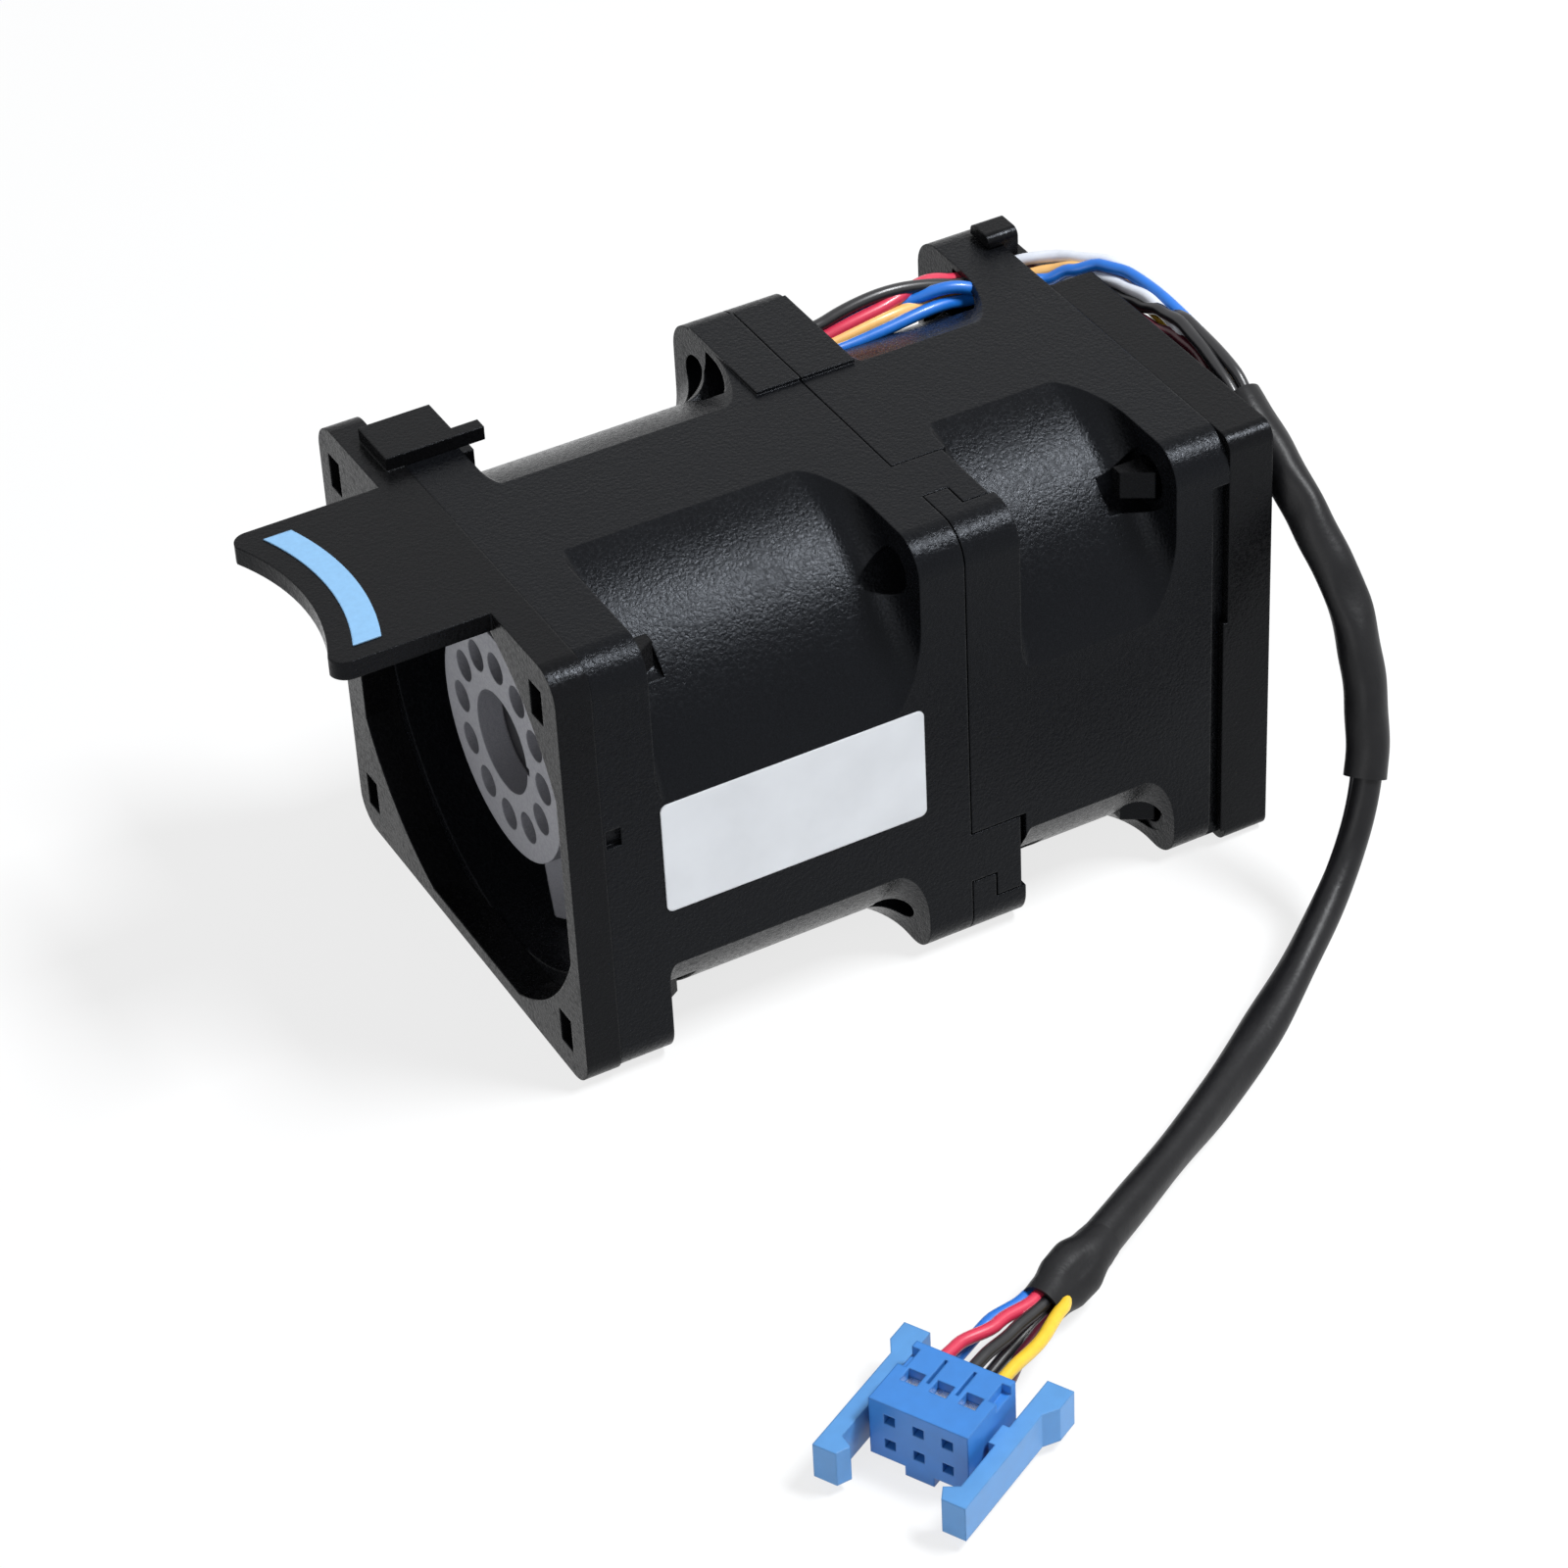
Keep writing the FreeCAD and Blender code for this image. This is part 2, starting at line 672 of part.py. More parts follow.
def rear_bracket():
    body = new_body("rear_bracket")
    thickness = cell("rear_bracket_thickness")
    bracket_plate(body, "rear", REAR, thickness, (-1,))
    snap_posts(body, "rear", REAR, fans["rear"]["free_flange"])
    notch = new_sketch(body, "wire_notch_outline", "YZ_Plane")
    rectangle(notch, cell("wire_notch_near"), cell("wire_notch_floor"),
              half_side + cell("bracket_far_overhang") + 1, half_side + 1)
    cut_both_ways(body, "wire_notch", notch, thickness)
    upright = lug_outline(body, "lug_upright", cell("wire_notch_floor") - cell("lug_corner"))
    pad(body, "lug", upright, cell("lug_reach"))
    hood = lug_outline(body, "lug_hood", half_side + cell("hook_clearance"))
    pad(body, "lug_over_flange", hood, cell("lug_overhang"), back=True)
    skirt = new_sketch(body, "skirt_outline", "YZ_Plane", -cell("skirt_reach"))
    skin = half_side - cell("outlet_rebate_depth") + cell("hook_clearance")
    low = -half_side + cell("rear_bracket_corner")
    rectangle(skirt, -half_side, low, -skin, cell("skirt_top"))
    rectangle(skirt, skin, low, half_side, cell("skirt_top"))
    pad(body, "skirt", skirt, cell("skirt_reach") + thickness / 2)
    place(body, seam_x + cell("rear_fan_length"), 0, axis_height)
    return keep("rear_bracket", body)


tab_tip = -(cell("front_bracket_thickness") + cell("tab_length"))
tab_chord = cell("tab_near_y") + cell("tab_far_y") - 2 * cell("tab_corner")
tab_dip = cell("tab_end_dip")
tab_end_radius = (tab_chord * tab_chord / 4 + tab_dip * tab_dip) / (2 * tab_dip)
front_bracket()
rear_bracket()


def touch_mark():
    """The crescent that marks the finger tab, laid on its top face along the dished end."""
    body = new_body("touch_mark")
    middle = (cell("tab_far_y") - cell("tab_near_y")) / 2
    centre = tab_tip + tab_dip - tab_end_radius
    inner = tab_end_radius + cell("mark_inset")
    outer = inner + cell("mark_width")
    reach = (cell("tab_near_y") + cell("tab_far_y")) / 2 - cell("mark_margin")
    inner_x = centre + (inner * inner - reach * reach).root()
    outer_x = centre + (outer * outer - reach * reach).root()
    sketch = new_sketch(body, "touch_mark_outline", "XY_Plane", half_side)
    outline(sketch, [
        (inner_x, middle + reach, inner, 1), (inner_x, middle - reach),
        (outer_x, middle - reach, outer, -1), (outer_x, middle + reach),
    ])
    pad(body, "touch_mark_film", sketch, cell("mark_thickness"))
    place(body, seam_x - cell("front_fan_length"), 0, axis_height)
    return keep("touch_mark", body)


def rating_label():
    """A bare label on the flat near side of the front fan."""
    body = new_body("rating_label")
    sketch = new_sketch(body, "label_outline", "XZ_Plane", half_side)
    start = -cell("front_fan_length") + cell("front_free_flange") + cell("hook_clearance")
    half_height = cell("label_height") / 2
    rectangle(sketch, start, -half_height, start + cell("label_length"), half_height)
    solid = pad(body, "label_film", sketch, cell("label_thickness"))
    round_edges(body, "label_corners", solid, cell("label_corner"),
                lambda edge: abs(edge.Vertexes[0].Point.y - edge.Vertexes[1].Point.y) > 1e-6)
    place(body, seam_x, 0, axis_height)
    return keep("rating_label", body)


touch_mark()
rating_label()


# ----------------------------------------------------------------------------------- the motors
def turned(name, way, corners):
    """A body turned about the fan axis from (distance from the joint, radius) corners."""
    body = new_body(name)
    sketch = new_sketch(body, f"{name}_profile", "XZ_Plane")
    outline(sketch, [(along(way, sized(c[0])), c[1]) for c in corners])
    revolve(body, f"{name}_turned", sketch)
    place(body, seam_x, 0, axis_height)
    return body


def sleeve_corners(start, end, inside, outside):
    return [(start, inside), (start, outside), (end, outside), (end, inside)]


def bearing(name, way, start):
    """A shielded ball bearing: two races with the shields set back a little from their faces."""
    width, outside = cell("bearing_width"), cell("bearing_radius")
    bore = cell("shaft_radius") + cell("push_clearance")
    race = cell("bearing_tube_wall")
    dip = race / 3
    end = start + width
    return turned(name, way, [
        (start, bore), (start, bore + race), (start + dip, bore + race),
        (start + dip, outside - race), (start, outside - race), (start, outside),
        (end, outside), (end, outside - race), (end - dip, outside - race),
        (end - dip, bore + race), (end, bore + race), (end, bore),
    ])


def impeller_hub(name, fan):
    """The impeller's cup, with a ring of balancing holes and a keyed bore in its end wall."""
    way, face = fan["way"], fan["hub_face"]
    body = turned(f"{name}_impeller_hub", way, [
        (fan["hub_base"], hub_inside), (fan["hub_base"], cell("hub_radius")),
        (face, cell("hub_radius")), (face, cell("hub_bore_radius")),
        (fan["yoke_face"], cell("hub_bore_radius")), (fan["yoke_face"], hub_inside),
    ])
    wall = cell("hub_end_wall")
    middle = along(way, face - wall / 2)
    hole = new_sketch(body, f"{name}_balance_hole_outline", "YZ_Plane", middle)
    circle(hole, cell("balance_hole_circle"), 0, cell("balance_hole_radius"))
    drilled = cut_both_ways(body, f"{name}_balance_hole", hole, wall / 2)
    around_axis(body, f"{name}_balance_holes", [drilled], cell("balance_hole_count"))
    key = new_sketch(body, f"{name}_key_outline", "YZ_Plane", middle)
    notch = cell("hub_wall") / 2
    rectangle(key, -cell("hub_bore_radius") - notch, -notch, 0, notch)
    cut_both_ways(body, f"{name}_key", key, wall / 2)
    return body


def blade_section(reach, sweep, camber, thickness, height):
    """One blade outline on a flat plane at the given height: a bowed leaf with blunt ends."""
    points = {}
    for side in (1, -1):
        row = []
        for step in range(5):
            share = step / 4
            bow = camber * 4 * share * (1 - share)
            half = side * thickness * (0.18 + 1.3 * math.sqrt(share) * (1 - share))
            row.append(FreeCAD.Vector(reach * (share - 0.5) - bow * 0.3,
                                      sweep * (share - 0.5) + bow + half, height))
        points[side] = row
    upper, lower = Part.BSplineCurve(), Part.BSplineCurve()
    upper.interpolate(points[1])
    lower.interpolate(points[-1][::-1])
    head = Part.LineSegment(points[1][-1], points[-1][-1]).toShape()
    tail = Part.LineSegment(points[-1][0], points[1][0]).toShape()
    return Part.Wire([upper.toShape(), head, lower.toShape(), tail])


BLADE_STATIONS = [(7.0, 0.50, 0.050, 1.25), (13.0, 0.72, 0.065, 0.95), (19.0, 0.85, 0.070, 0.75)]


def blades(name, fan):
    """Twisted blades lofted through three sections, trimmed to the hub and to the duct."""
    reach, way = fan["reach"].number, fan["way"]
    sections = [blade_section(reach, reach * turn * fan["hand"], reach * bow * fan["hand"],
                              thickness, height) for height, turn, bow, thickness in BLADE_STATIONS]
    blade = Part.makeLoft(sections, True)
    middle = (fan["hub_base"].number + fan["hub_face"].number) / 2
    blade.translate(FreeCAD.Vector(middle * way, 0, 0))
    axis, origin = FreeCAD.Vector(1, 0, 0), FreeCAD.Vector(0, 0, 0)
    low = FreeCAD.Vector(min(0, way * fan["length"].number), 0, 0)
    tip = Part.makeCylinder(blade_tip_radius.number, fan["length"].number, low, axis)
    core = Part.makeCylinder(hub_inside.number + cell("hub_wall").number / 2,
                             fan["length"].number, low, axis)
    blade = blade.common(tip).cut(core)
    count = int(fan["blades"].number)
    ring = []
    for index in range(count):
        copy = blade.copy()
        copy.rotate(origin, axis, 360.0 * index / count)
        ring.append(copy)
    item = doc.addObject("Part::Feature", f"{name}_blades")
    item.Shape = Part.makeCompound(ring)
    item.Placement = FreeCAD.Placement(
        FreeCAD.Vector(seam_x.number, 0, axis_height.number), FreeCAD.Rotation())
    return item


def combined(kind, name, items):
    item = doc.addObject(kind, name)
    if kind == "Part::Compound":
        item.Links = items
    else:
        item.Shapes = items
    return item


def windings(name, fan):
    """One coil around each stator tooth, as a square ring."""
    way, core = fan["way"], fan["core"]
    build = cell("winding_build")
    ring_radius = tube_radius + cell("push_clearance") + cell("core_ring")
    low = ring_radius + cell("push_clearance")
    height = stator_radius - build - cell("push_clearance") - low
    coils = []
    for index in range(int(cell("tooth_count").number)):
        blocks = []
        for layer, grow in (("outside", build), ("inside", cell("push_clearance"))):
            block = doc.addObject("Part::Box", f"{name}_coil_{layer}_{index}")
            spread = cell("tooth_width") + 2 * grow
            span = core + 2 * grow
            bind(block, "Length", span)
            bind(block, "Width", spread)
            extra = 1 if layer == "inside" else 0
            bind(block, "Height", height + 2 * extra)
            bind(block, ".Placement.Base.x", -span / 2)
            bind(block, ".Placement.Base.y", -spread / 2)
            bind(block, ".Placement.Base.z", low - extra)
            blocks.append(block)
        coil = doc.addObject("Part::Cut", f"{name}_coil_{index}")
        coil.Base, coil.Tool = blocks
        turn = 360.0 * index / int(cell("tooth_count").number)
        coil.Placement = FreeCAD.Placement(
            FreeCAD.Vector(0, 0, 0), FreeCAD.Rotation(FreeCAD.Vector(1, 0, 0), turn))
        bind(coil, ".Placement.Base.x", seam_x + along(way, fan["core_start"] + core / 2))
        bind(coil, ".Placement.Base.z", axis_height)
        coils.append(coil)
    return combined("Part::Compound", f"{name}_windings", coils)


def stator_core(name, fan):
    """Steel core: a ring on the bearing tube with T-shaped teeth."""
    way, core = fan["way"], fan["core"]
    bore = tube_radius + cell("push_clearance")
    ring = bore + cell("core_ring")
    start = along(way, fan["core_start"])
    body = new_body(f"{name}_stator_core")
    hoop = new_sketch(body, f"{name}_core_ring_outline", "YZ_Plane", start)
    circle(hoop, 0, 0, bore)
    circle(hoop, 0, 0, ring)
    pad(body, f"{name}_core_ring", hoop, core, back=way == FRONT)
    tooth = new_sketch(body, f"{name}_tooth_outline", "YZ_Plane", start)
    edge = cell("tooth_width") / 2
    shoe = cell("tooth_width") * 1.7
    shoe_low = stator_radius - cell("winding_build")
    shoe_top = (stator_radius * stator_radius - shoe * shoe).root()
    outline(tooth, [
        (-edge, ring - 0.2), (edge, ring - 0.2), (edge, shoe_low), (shoe, shoe_low),
        (shoe, shoe_top, stator_radius, -1), (-shoe, shoe_top), (-shoe, shoe_low),
        (-edge, shoe_low),
    ])
    padded = pad(body, f"{name}_tooth", tooth, core, back=way == FRONT)
    around_axis(body, f"{name}_teeth", [padded], cell("tooth_count"))
    place(body, seam_x, 0, axis_height)
    return body


def motor(name):
    fan = fans[name]
    way = fan["way"]
    tube_start, tube_end = cell("base_floor"), fan["tube_end"]
    inside = cell("bearing_radius") + cell("push_clearance")
    keep(f"{name}_bearing_tube", turned(f"{name}_bearing_tube", way,
                                        sleeve_corners(tube_start, tube_end, inside, tube_radius)))
    races = [bearing(f"{name}_inner_bearing", way, fan["bearing_low"]),
             bearing(f"{name}_outer_bearing", way, fan["bearing_high"])]
    keep(f"{name}_bearings", combined("Part::Compound", f"{name}_bearings", races))
    board_end = fan["base"] - cell("board_thickness")
    board = sleeve_corners(board_end - cell("board_thickness"), board_end,
                           tube_radius + cell("push_clearance"),
                           cell("hub_radius") - cell("base_wall") - cell("push_clearance"))
    keep(f"{name}_circuit_board", turned(f"{name}_circuit_board", way, board))
    keep(f"{name}_stator_core", stator_core(name, fan))
    keep(f"{name}_windings", windings(name, fan))
    yoke_face, wall = fan["yoke_face"], cell("yoke_wall")
    keep(f"{name}_rotor_yoke", turned(f"{name}_rotor_yoke", way, [
        (fan["yoke_base"], yoke_inside), (fan["yoke_base"], yoke_outside),
        (yoke_face, yoke_outside), (yoke_face, cell("bush_radius")),
        (yoke_face - wall, cell("bush_radius")), (yoke_face - wall, yoke_inside),
    ]))
    magnet_start = fan["yoke_base"] + cell("yoke_wall")
    magnet_end = fan["core_start"] + fan["core"] + cell("hub_wall")
    keep(f"{name}_rotor_magnet", turned(f"{name}_rotor_magnet", way, sleeve_corners(
        magnet_start, magnet_end, magnet_inside, magnet_outside)))
    bush_end = yoke_face + cell("face_clearance")
    keep(f"{name}_shaft_bush", turned(f"{name}_shaft_bush", way, sleeve_corners(
        bush_end - cell("bush_length"), bush_end, cell("shaft_radius"), cell("bush_radius"))))
    clip_end = fan["bearing_low"] - cell("face_clearance")
    clip_start = clip_end - cell("clip_thickness")
    keep(f"{name}_shaft_clip", turned(f"{name}_shaft_clip", way, sleeve_corners(
        clip_start, clip_end, cell("shaft_radius"), cell("clip_radius"))))
    shaft_start = clip_start - cell("clip_thickness")
    keep(f"{name}_shaft", turned(f"{name}_shaft", way, [
        (shaft_start, 0), (shaft_start, cell("shaft_radius")), (bush_end, cell("shaft_radius")),
        (bush_end, 0),
    ]))
    impeller = combined("Part::MultiFuse", f"{name}_impeller",
                        [impeller_hub(name, fan), blades(name, fan)])
    keep(f"{name}_impeller", impeller)


for fan_name in fans:
    motor(fan_name)


# ------------------------------------------------------------------------------------ the cable
def lead_bundle():
    """The fans' wires where they run through the corner channels."""
    run = doc.addObject("Part::Cylinder", "lead_bundle")
    bind(run, "Radius", cell("lead_bundle_radius"))
    bind(run, "Height", cell("lead_start") + cell("rear_fan_length"))
    run.Placement = FreeCAD.Placement(
        FreeCAD.Vector(0, 0, 0), FreeCAD.Rotation(FreeCAD.Vector(0, 1, 0), 90))
    bind(run, ".Placement.Base.x", seam_x - cell("lead_start"))
    bind(run, ".Placement.Base.y", cell("wire_channel_y"))
    bind(run, ".Placement.Base.z", axis_height + cell("wire_channel_z"))
    return keep("lead_bundle", run)


lead_bundle()

CABLE_ROUTE = [
    (26.45, 12.6, 38.15), (28.5, 12.0, 38.5), (30.9, 9.1, 39.0), (32.2, 4.6, 39.3),
    (32.5, -2.5, 38.9), (32.7, -9.5, 37.4), (32.8, -16.0, 34.3), (33.2, -21.9, 29.6),
    (33.6, -26.4, 24.3), (32.9, -29.9, 18.2), (31.1, -32.7, 12.0), (27.4, -35.0, 6.4),
    (19.5, -39.9, 2.8), (9.0, -47.0, 1.9), (-1.6, -53.1, 2.3), (-11.4, -59.0, 3.1),
    (-20.7, -63.6, 3.3), (-25.95, -66.4, 3.6),
]
route = [FreeCAD.Vector(*spot) for spot in CABLE_ROUTE]


def bends(points):
    """For each inner point of the route: where its arc starts, its middle, its end and radius."""
    found = {}
    for index in range(1, len(points) - 1):
        back, ahead = points[index - 1] - points[index], points[index + 1] - points[index]
        shorter = min(back.Length, ahead.Length)
        half_turn = (math.pi - back.getAngle(ahead)) / 2
        radius = 0.45 * shorter / math.tan(half_turn)
        start = points[index] + back.normalize() * 0.45 * shorter
        end = points[index] + ahead.normalize() * 0.45 * shorter
        towards = (back + ahead).normalize()
        centre = points[index] + towards * (radius / math.cos(half_turn))
        found[index] = (start, centre - towards * radius, end, radius)
    return found


route_bends = bends(route)


def cable_piece(label, first_run, last_run, radius):
    """A round length of the cable, from the middle of one run of the route to that of another."""
    start = route[0] if first_run == 0 else (route[first_run] + route[first_run + 1]) * 0.5
    last_point = len(route) - 1
    whole = last_run == last_point
    end = route[last_point] if whole else (route[last_run] + route[last_run + 1]) * 0.5
    edges, here = [], start
    for index in range(first_run + 1, last_point if whole else last_run + 1):
        bend_start, top, bend_end, bend_radius = route_bends[index]
        edges.append(Part.LineSegment(here, bend_start).toShape())
        edges.append(Part.Arc(bend_start, top, bend_end).toShape())
        here = bend_end
        print(f"{label}: bend {index} radius {bend_radius:.1f} mm")
    edges.append(Part.LineSegment(here, end).toShape())
    path = Part.Wire(edges)
    heading = edges[0].tangentAt(edges[0].FirstParameter)
    profile = Part.Wire([Part.Circle(start, heading, radius).toShape()])
    solid = path.makePipeShell([profile], True, True)
    share = solid.Volume / (math.pi * radius * radius * path.Length)
    print(f"{label}: length {path.Length:.1f} mm, volume is {share:.4f} of section times length")
    item = doc.addObject("Part::Feature", label)
    item.Shape = solid
    return keep(label, item)


cable_piece("loose_wires", 0, 5, cell("wire_bundle_radius").number)
cable_piece("outer_sleeve", 5, 10, cell("outer_sleeve_radius").number)
cable_piece("cable_sleeve", 10, 14, cell("cable_sleeve_radius").number)
cable_piece("sleeve_end", 14, 15, cell("sleeve_end_radius").number)
cable_piece("connector_wires", 15, len(route) - 1, cell("connector_bundle_radius").number)


# -------------------------------------------------------------------------------- the connector
def seat_connector(body):
    turn = FreeCAD.Rotation(FreeCAD.Vector(0, 0, 1), cell("connector_turn").number)
    body.Placement = FreeCAD.Placement(FreeCAD.Vector(0, 0, 0), turn)
    bind(body, ".Placement.Base.x", cell("connector_x"))
    bind(body, ".Placement.Base.y", cell("connector_y"))


def connector_housing():
    """Six sockets in two rows, crimp windows above and below, and a key under the front."""
    body = new_body("connector_housing")
    half_length, half_width = cell("housing_length") / 2, cell("housing_width") / 2
    low, height = cell("housing_lift"), cell("housing_height")
    block = new_sketch(body, "housing_outline", "XY_Plane", low)
    rectangle(block, -half_length, -half_width, half_length, half_width)
    pad(body, "housing_block", block, height)
    middle = low + height / 2
    pitch, side = cell("socket_pitch"), cell("socket_side") / 2
    sockets = new_sketch(body, "socket_outline", "YZ_Plane", half_length)
    for row in (-0.5, 0.5):
        for column in (-1, 0, 1):
            y, z = pitch * column, middle + pitch * row
            rectangle(sockets, y - side, z - side, y + side, z + side)
    cut_both_ways(body, "sockets", sockets, cell("socket_depth"))
    slot_length, slot_width = cell("window_slot_length"), cell("window_slot_width") / 2
    slit = cell("web_gap") / 2
    for level, surface in (("upper", low + height), ("lower", low)):
        windows = new_sketch(body, f"{level}_window_outline", "XY_Plane", surface)
        for column in (-1, 0, 1):
            y = pitch * column
            rectangle(windows, -slot_length / 2, y - slot_width, slot_length / 2, y + slot_width)
        cut_both_ways(body, f"{level}_windows", windows, cell("window_slot_depth"))
    slits = new_sketch(body, "slit_outline", "XY_Plane", low + height)
    for column in (-0.5, 0.5):
        y = pitch * column
        rectangle(slits, -half_length + slot_length / 2, y - slit, 0, y + slit)
    for side_way in (-1, 1):
        outer = half_width * side_way
        inner = (half_width - slot_width) * side_way
        rectangle(slits, -half_length + slot_length / 2, outer, -slot_length / 2, inner)
    cut_both_ways(body, "slits", slits, cell("window_slot_depth") / 2)
    key = new_sketch(body, "key_outline", "XY_Plane")
    rectangle(key, half_length - slot_length, -pitch / 2, half_length, pitch / 2)
    pad(body, "front_key", key, low + 0.1)
    heel = new_sketch(body, "heel_outline", "XY_Plane")
    rectangle(heel, -half_length, -half_width + slot_width, -half_length + slot_length,
              half_width - slot_width)
    pad(body, "rear_heel", heel, low + 0.1)
    seat_connector(body)
    return keep("connector_housing", body)


def contacts():
    """The crimped contacts that show in the six windows."""
    body_list = []
    low, height = cell("housing_lift"), cell("housing_height")
    depth, thickness = cell("window_slot_depth"), cell("window_slot_depth") / 2
    width = cell("window_slot_width") - 4 * cell("push_clearance")
    length = cell("window_slot_length") - 4 * cell("push_clearance")
    for level, base in (("upper", low + height - depth), ("lower", low + depth - thickness)):
        for column in (-1, 0, 1):
            body = new_body(f"contact_{level}_{column + 1}")
            sketch = new_sketch(body, f"contact_outline_{level}_{column + 1}", "XY_Plane", base)
            y = cell("socket_pitch") * column
            rectangle(sketch, -length / 2, y - width / 2, length / 2, y + width / 2)
            pad(body, f"contact_pad_{level}_{column + 1}", sketch, thickness)
            seat_connector(body)
            body_list.append(body)
    return keep("connector_contacts", combined("Part::Compound", "connector_contacts", body_list))


def latch(label, side):
    """A rocking latch arm: press pad at the rear, hook at the front, carried by a short web."""
    body = new_body(label)
    half, offset = cell("latch_length") / 2, cell("latch_offset")
    front = half + cell("web_length") / 4
    back = -half + cell("web_length") / 4
    inner, outer = offset - cell("latch_width") / 2, offset + cell("latch_width") / 2
    web_end = cell("housing_width") / 2 + cell("web_gap")
    web_half, pad_end, hook = cell("web_length") / 2, cell("latch_pad"), cell("latch_hook")
    corners = [
        (back, inner), (-web_half, inner), (-web_half, web_end), (web_half, web_end),
        (web_half, inner), (front - hook * 1.6, inner), (front - hook, inner - hook),
        (front, inner - hook / 2), (front, outer), (back + pad_end * 4, outer),
        (back + pad_end * 2.5, outer + pad_end), (back, outer + pad_end),
    ]
    sketch = new_sketch(body, f"{label}_outline", "XY_Plane", cell("housing_lift"))
    outline(sketch, [(x, y * side) for x, y in corners])
    pad(body, f"{label}_arm", sketch, cell("latch_height"))
    seat_connector(body)
    return keep(label, body)


connector_housing()
contacts()
latch("latch_left", 1)
latch("latch_right", -1)

doc.recompute()
bad = [item.Name for item in doc.Objects if any(word in item.State for word in ("Invalid", "Error"))]
if bad:
    raise SystemExit(f"failed features: {bad}")
os.makedirs("parts", exist_ok=True)
for label, item in parts.items():
    shape = item.Shape
    if shape.isNull() or not shape.isValid():
        raise SystemExit(f"{label} has no valid shape")
    shape.exportStep(f"parts/{label}.step")
    print(f"{label}: {len(shape.Solids)} solid(s), {shape.Volume:.1f} mm3")
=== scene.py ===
import math

import bpy
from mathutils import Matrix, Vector


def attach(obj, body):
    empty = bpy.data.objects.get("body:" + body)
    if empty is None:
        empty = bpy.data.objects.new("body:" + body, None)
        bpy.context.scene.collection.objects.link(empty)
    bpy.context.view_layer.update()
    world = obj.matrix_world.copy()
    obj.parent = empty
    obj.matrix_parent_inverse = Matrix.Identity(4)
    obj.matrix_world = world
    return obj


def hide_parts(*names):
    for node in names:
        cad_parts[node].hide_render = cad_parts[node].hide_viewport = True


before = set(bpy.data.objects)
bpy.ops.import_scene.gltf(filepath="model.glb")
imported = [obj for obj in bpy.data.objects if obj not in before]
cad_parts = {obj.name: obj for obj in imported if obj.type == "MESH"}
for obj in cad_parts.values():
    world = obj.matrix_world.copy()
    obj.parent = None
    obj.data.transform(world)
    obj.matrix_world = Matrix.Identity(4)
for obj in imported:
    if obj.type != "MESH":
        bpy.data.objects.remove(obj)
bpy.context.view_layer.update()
mm = 0.001
sensorWidth = 36
smoothAngle = math.radians(40)
lineOrder = 3
wireSides = 12


def deselectAll():
    if bpy.context.mode != "OBJECT":
        bpy.ops.object.mode_set(mode="OBJECT")
    bpy.ops.object.select_all(action="DESELECT")


# the camera looks down on the module's near side and its inlet
camera = {"spot": (-149.695, -285.230, 252.762), "turn": (52.292, 2.489, -28.937),
          "lens": 112.497, "nearest": 0.01}


def makeCamera():
    deselectAll()
    bpy.ops.object.camera_add(location=Vector(camera["spot"]) * mm,
                              rotation=[math.radians(a) for a in camera["turn"]])
    eye = bpy.context.object
    eye.data.lens = camera["lens"]
    eye.data.sensor_width = sensorWidth
    eye.data.clip_start = camera["nearest"]
    bpy.context.scene.camera = eye
    print("camera placed")


makeCamera()


# materials: one class wraps a socket so that shader maths reads as plain sums
class Value:
    def __init__(self, tree, socket):
        self.tree = tree
        self.socket = socket

    def sum(self, operation, first, second):
        node = self.tree.nodes.new("ShaderNodeMath")
        node.operation = operation
        for slot, item in zip(node.inputs, (first, second)):
            if isinstance(item, Value):
                self.tree.links.new(item.socket, slot)
            else:
                slot.default_value = item
        return Value(self.tree, node.outputs[0])

    def __add__(self, other):
        return self.sum("ADD", self, other)

    def __radd__(self, other):
        return self.sum("ADD", other, self)

    def __sub__(self, other):
        return self.sum("SUBTRACT", self, other)

    def __mul__(self, other):
        return self.sum("MULTIPLY", self, other)

    def above(self, limit):
        return self.sum("GREATER_THAN", self, limit)

    def lift(self, power):
        return self.sum("POWER", self, power)


class Finish:
    # a material with its Principled shader, and one way to add any other node
    def __init__(self, name):
        self.material = bpy.data.materials.new(name)
        self.material.use_nodes = True
        self.tree = self.material.node_tree
        self.shader = self.tree.nodes["Principled BSDF"]
        self.place = self.node("ShaderNodeTexCoord").socket("Object")

    def feed(self, slot, item):
        # a socket takes another node's value, a colour or a plain number
        if isinstance(item, Value):
            self.tree.links.new(item.socket, slot)
        elif isinstance(item, (tuple, list)):
            slot.default_value = (*item, 1)
        else:
            slot.default_value = item

    def node(self, kind, settings=None, **links):
        made = self.tree.nodes.new(kind)
        for key, item in (settings or {}).items():
            setattr(made, key, item)
        for key, item in links.items():
            self.feed(made.inputs[key.replace("_", " ")], item)
        return Node(self.tree, made)

    def noise(self, scale, detail=2.0, rough=0.5):
        return self.node("ShaderNodeTexNoise", Vector=self.place, Scale=scale, Detail=detail,
                         Roughness=rough).socket("Fac")

    def mix(self, share, low, high):
        made = self.node("ShaderNodeMix", {"data_type": "RGBA"}).made
        # a colour mix has its factor at 0, its colours at 6 and 7, and its result at 2
        for place, item in ((0, share), (6, low), (7, high)):
            self.feed(made.inputs[place], item)
        return Value(self.tree, made.outputs[2])

    def bump(self, height, strength, distance, normal=None):
        made = self.node("ShaderNodeBump", Height=height, Strength=strength, Distance=distance)
        if normal:
            self.feed(made.made.inputs["Normal"], normal)
        return made.socket("Normal")

    def set(self, **sockets):
        for key, item in sockets.items():
            self.feed(self.shader.inputs[key.replace("_", " ")], item)
        return self.material


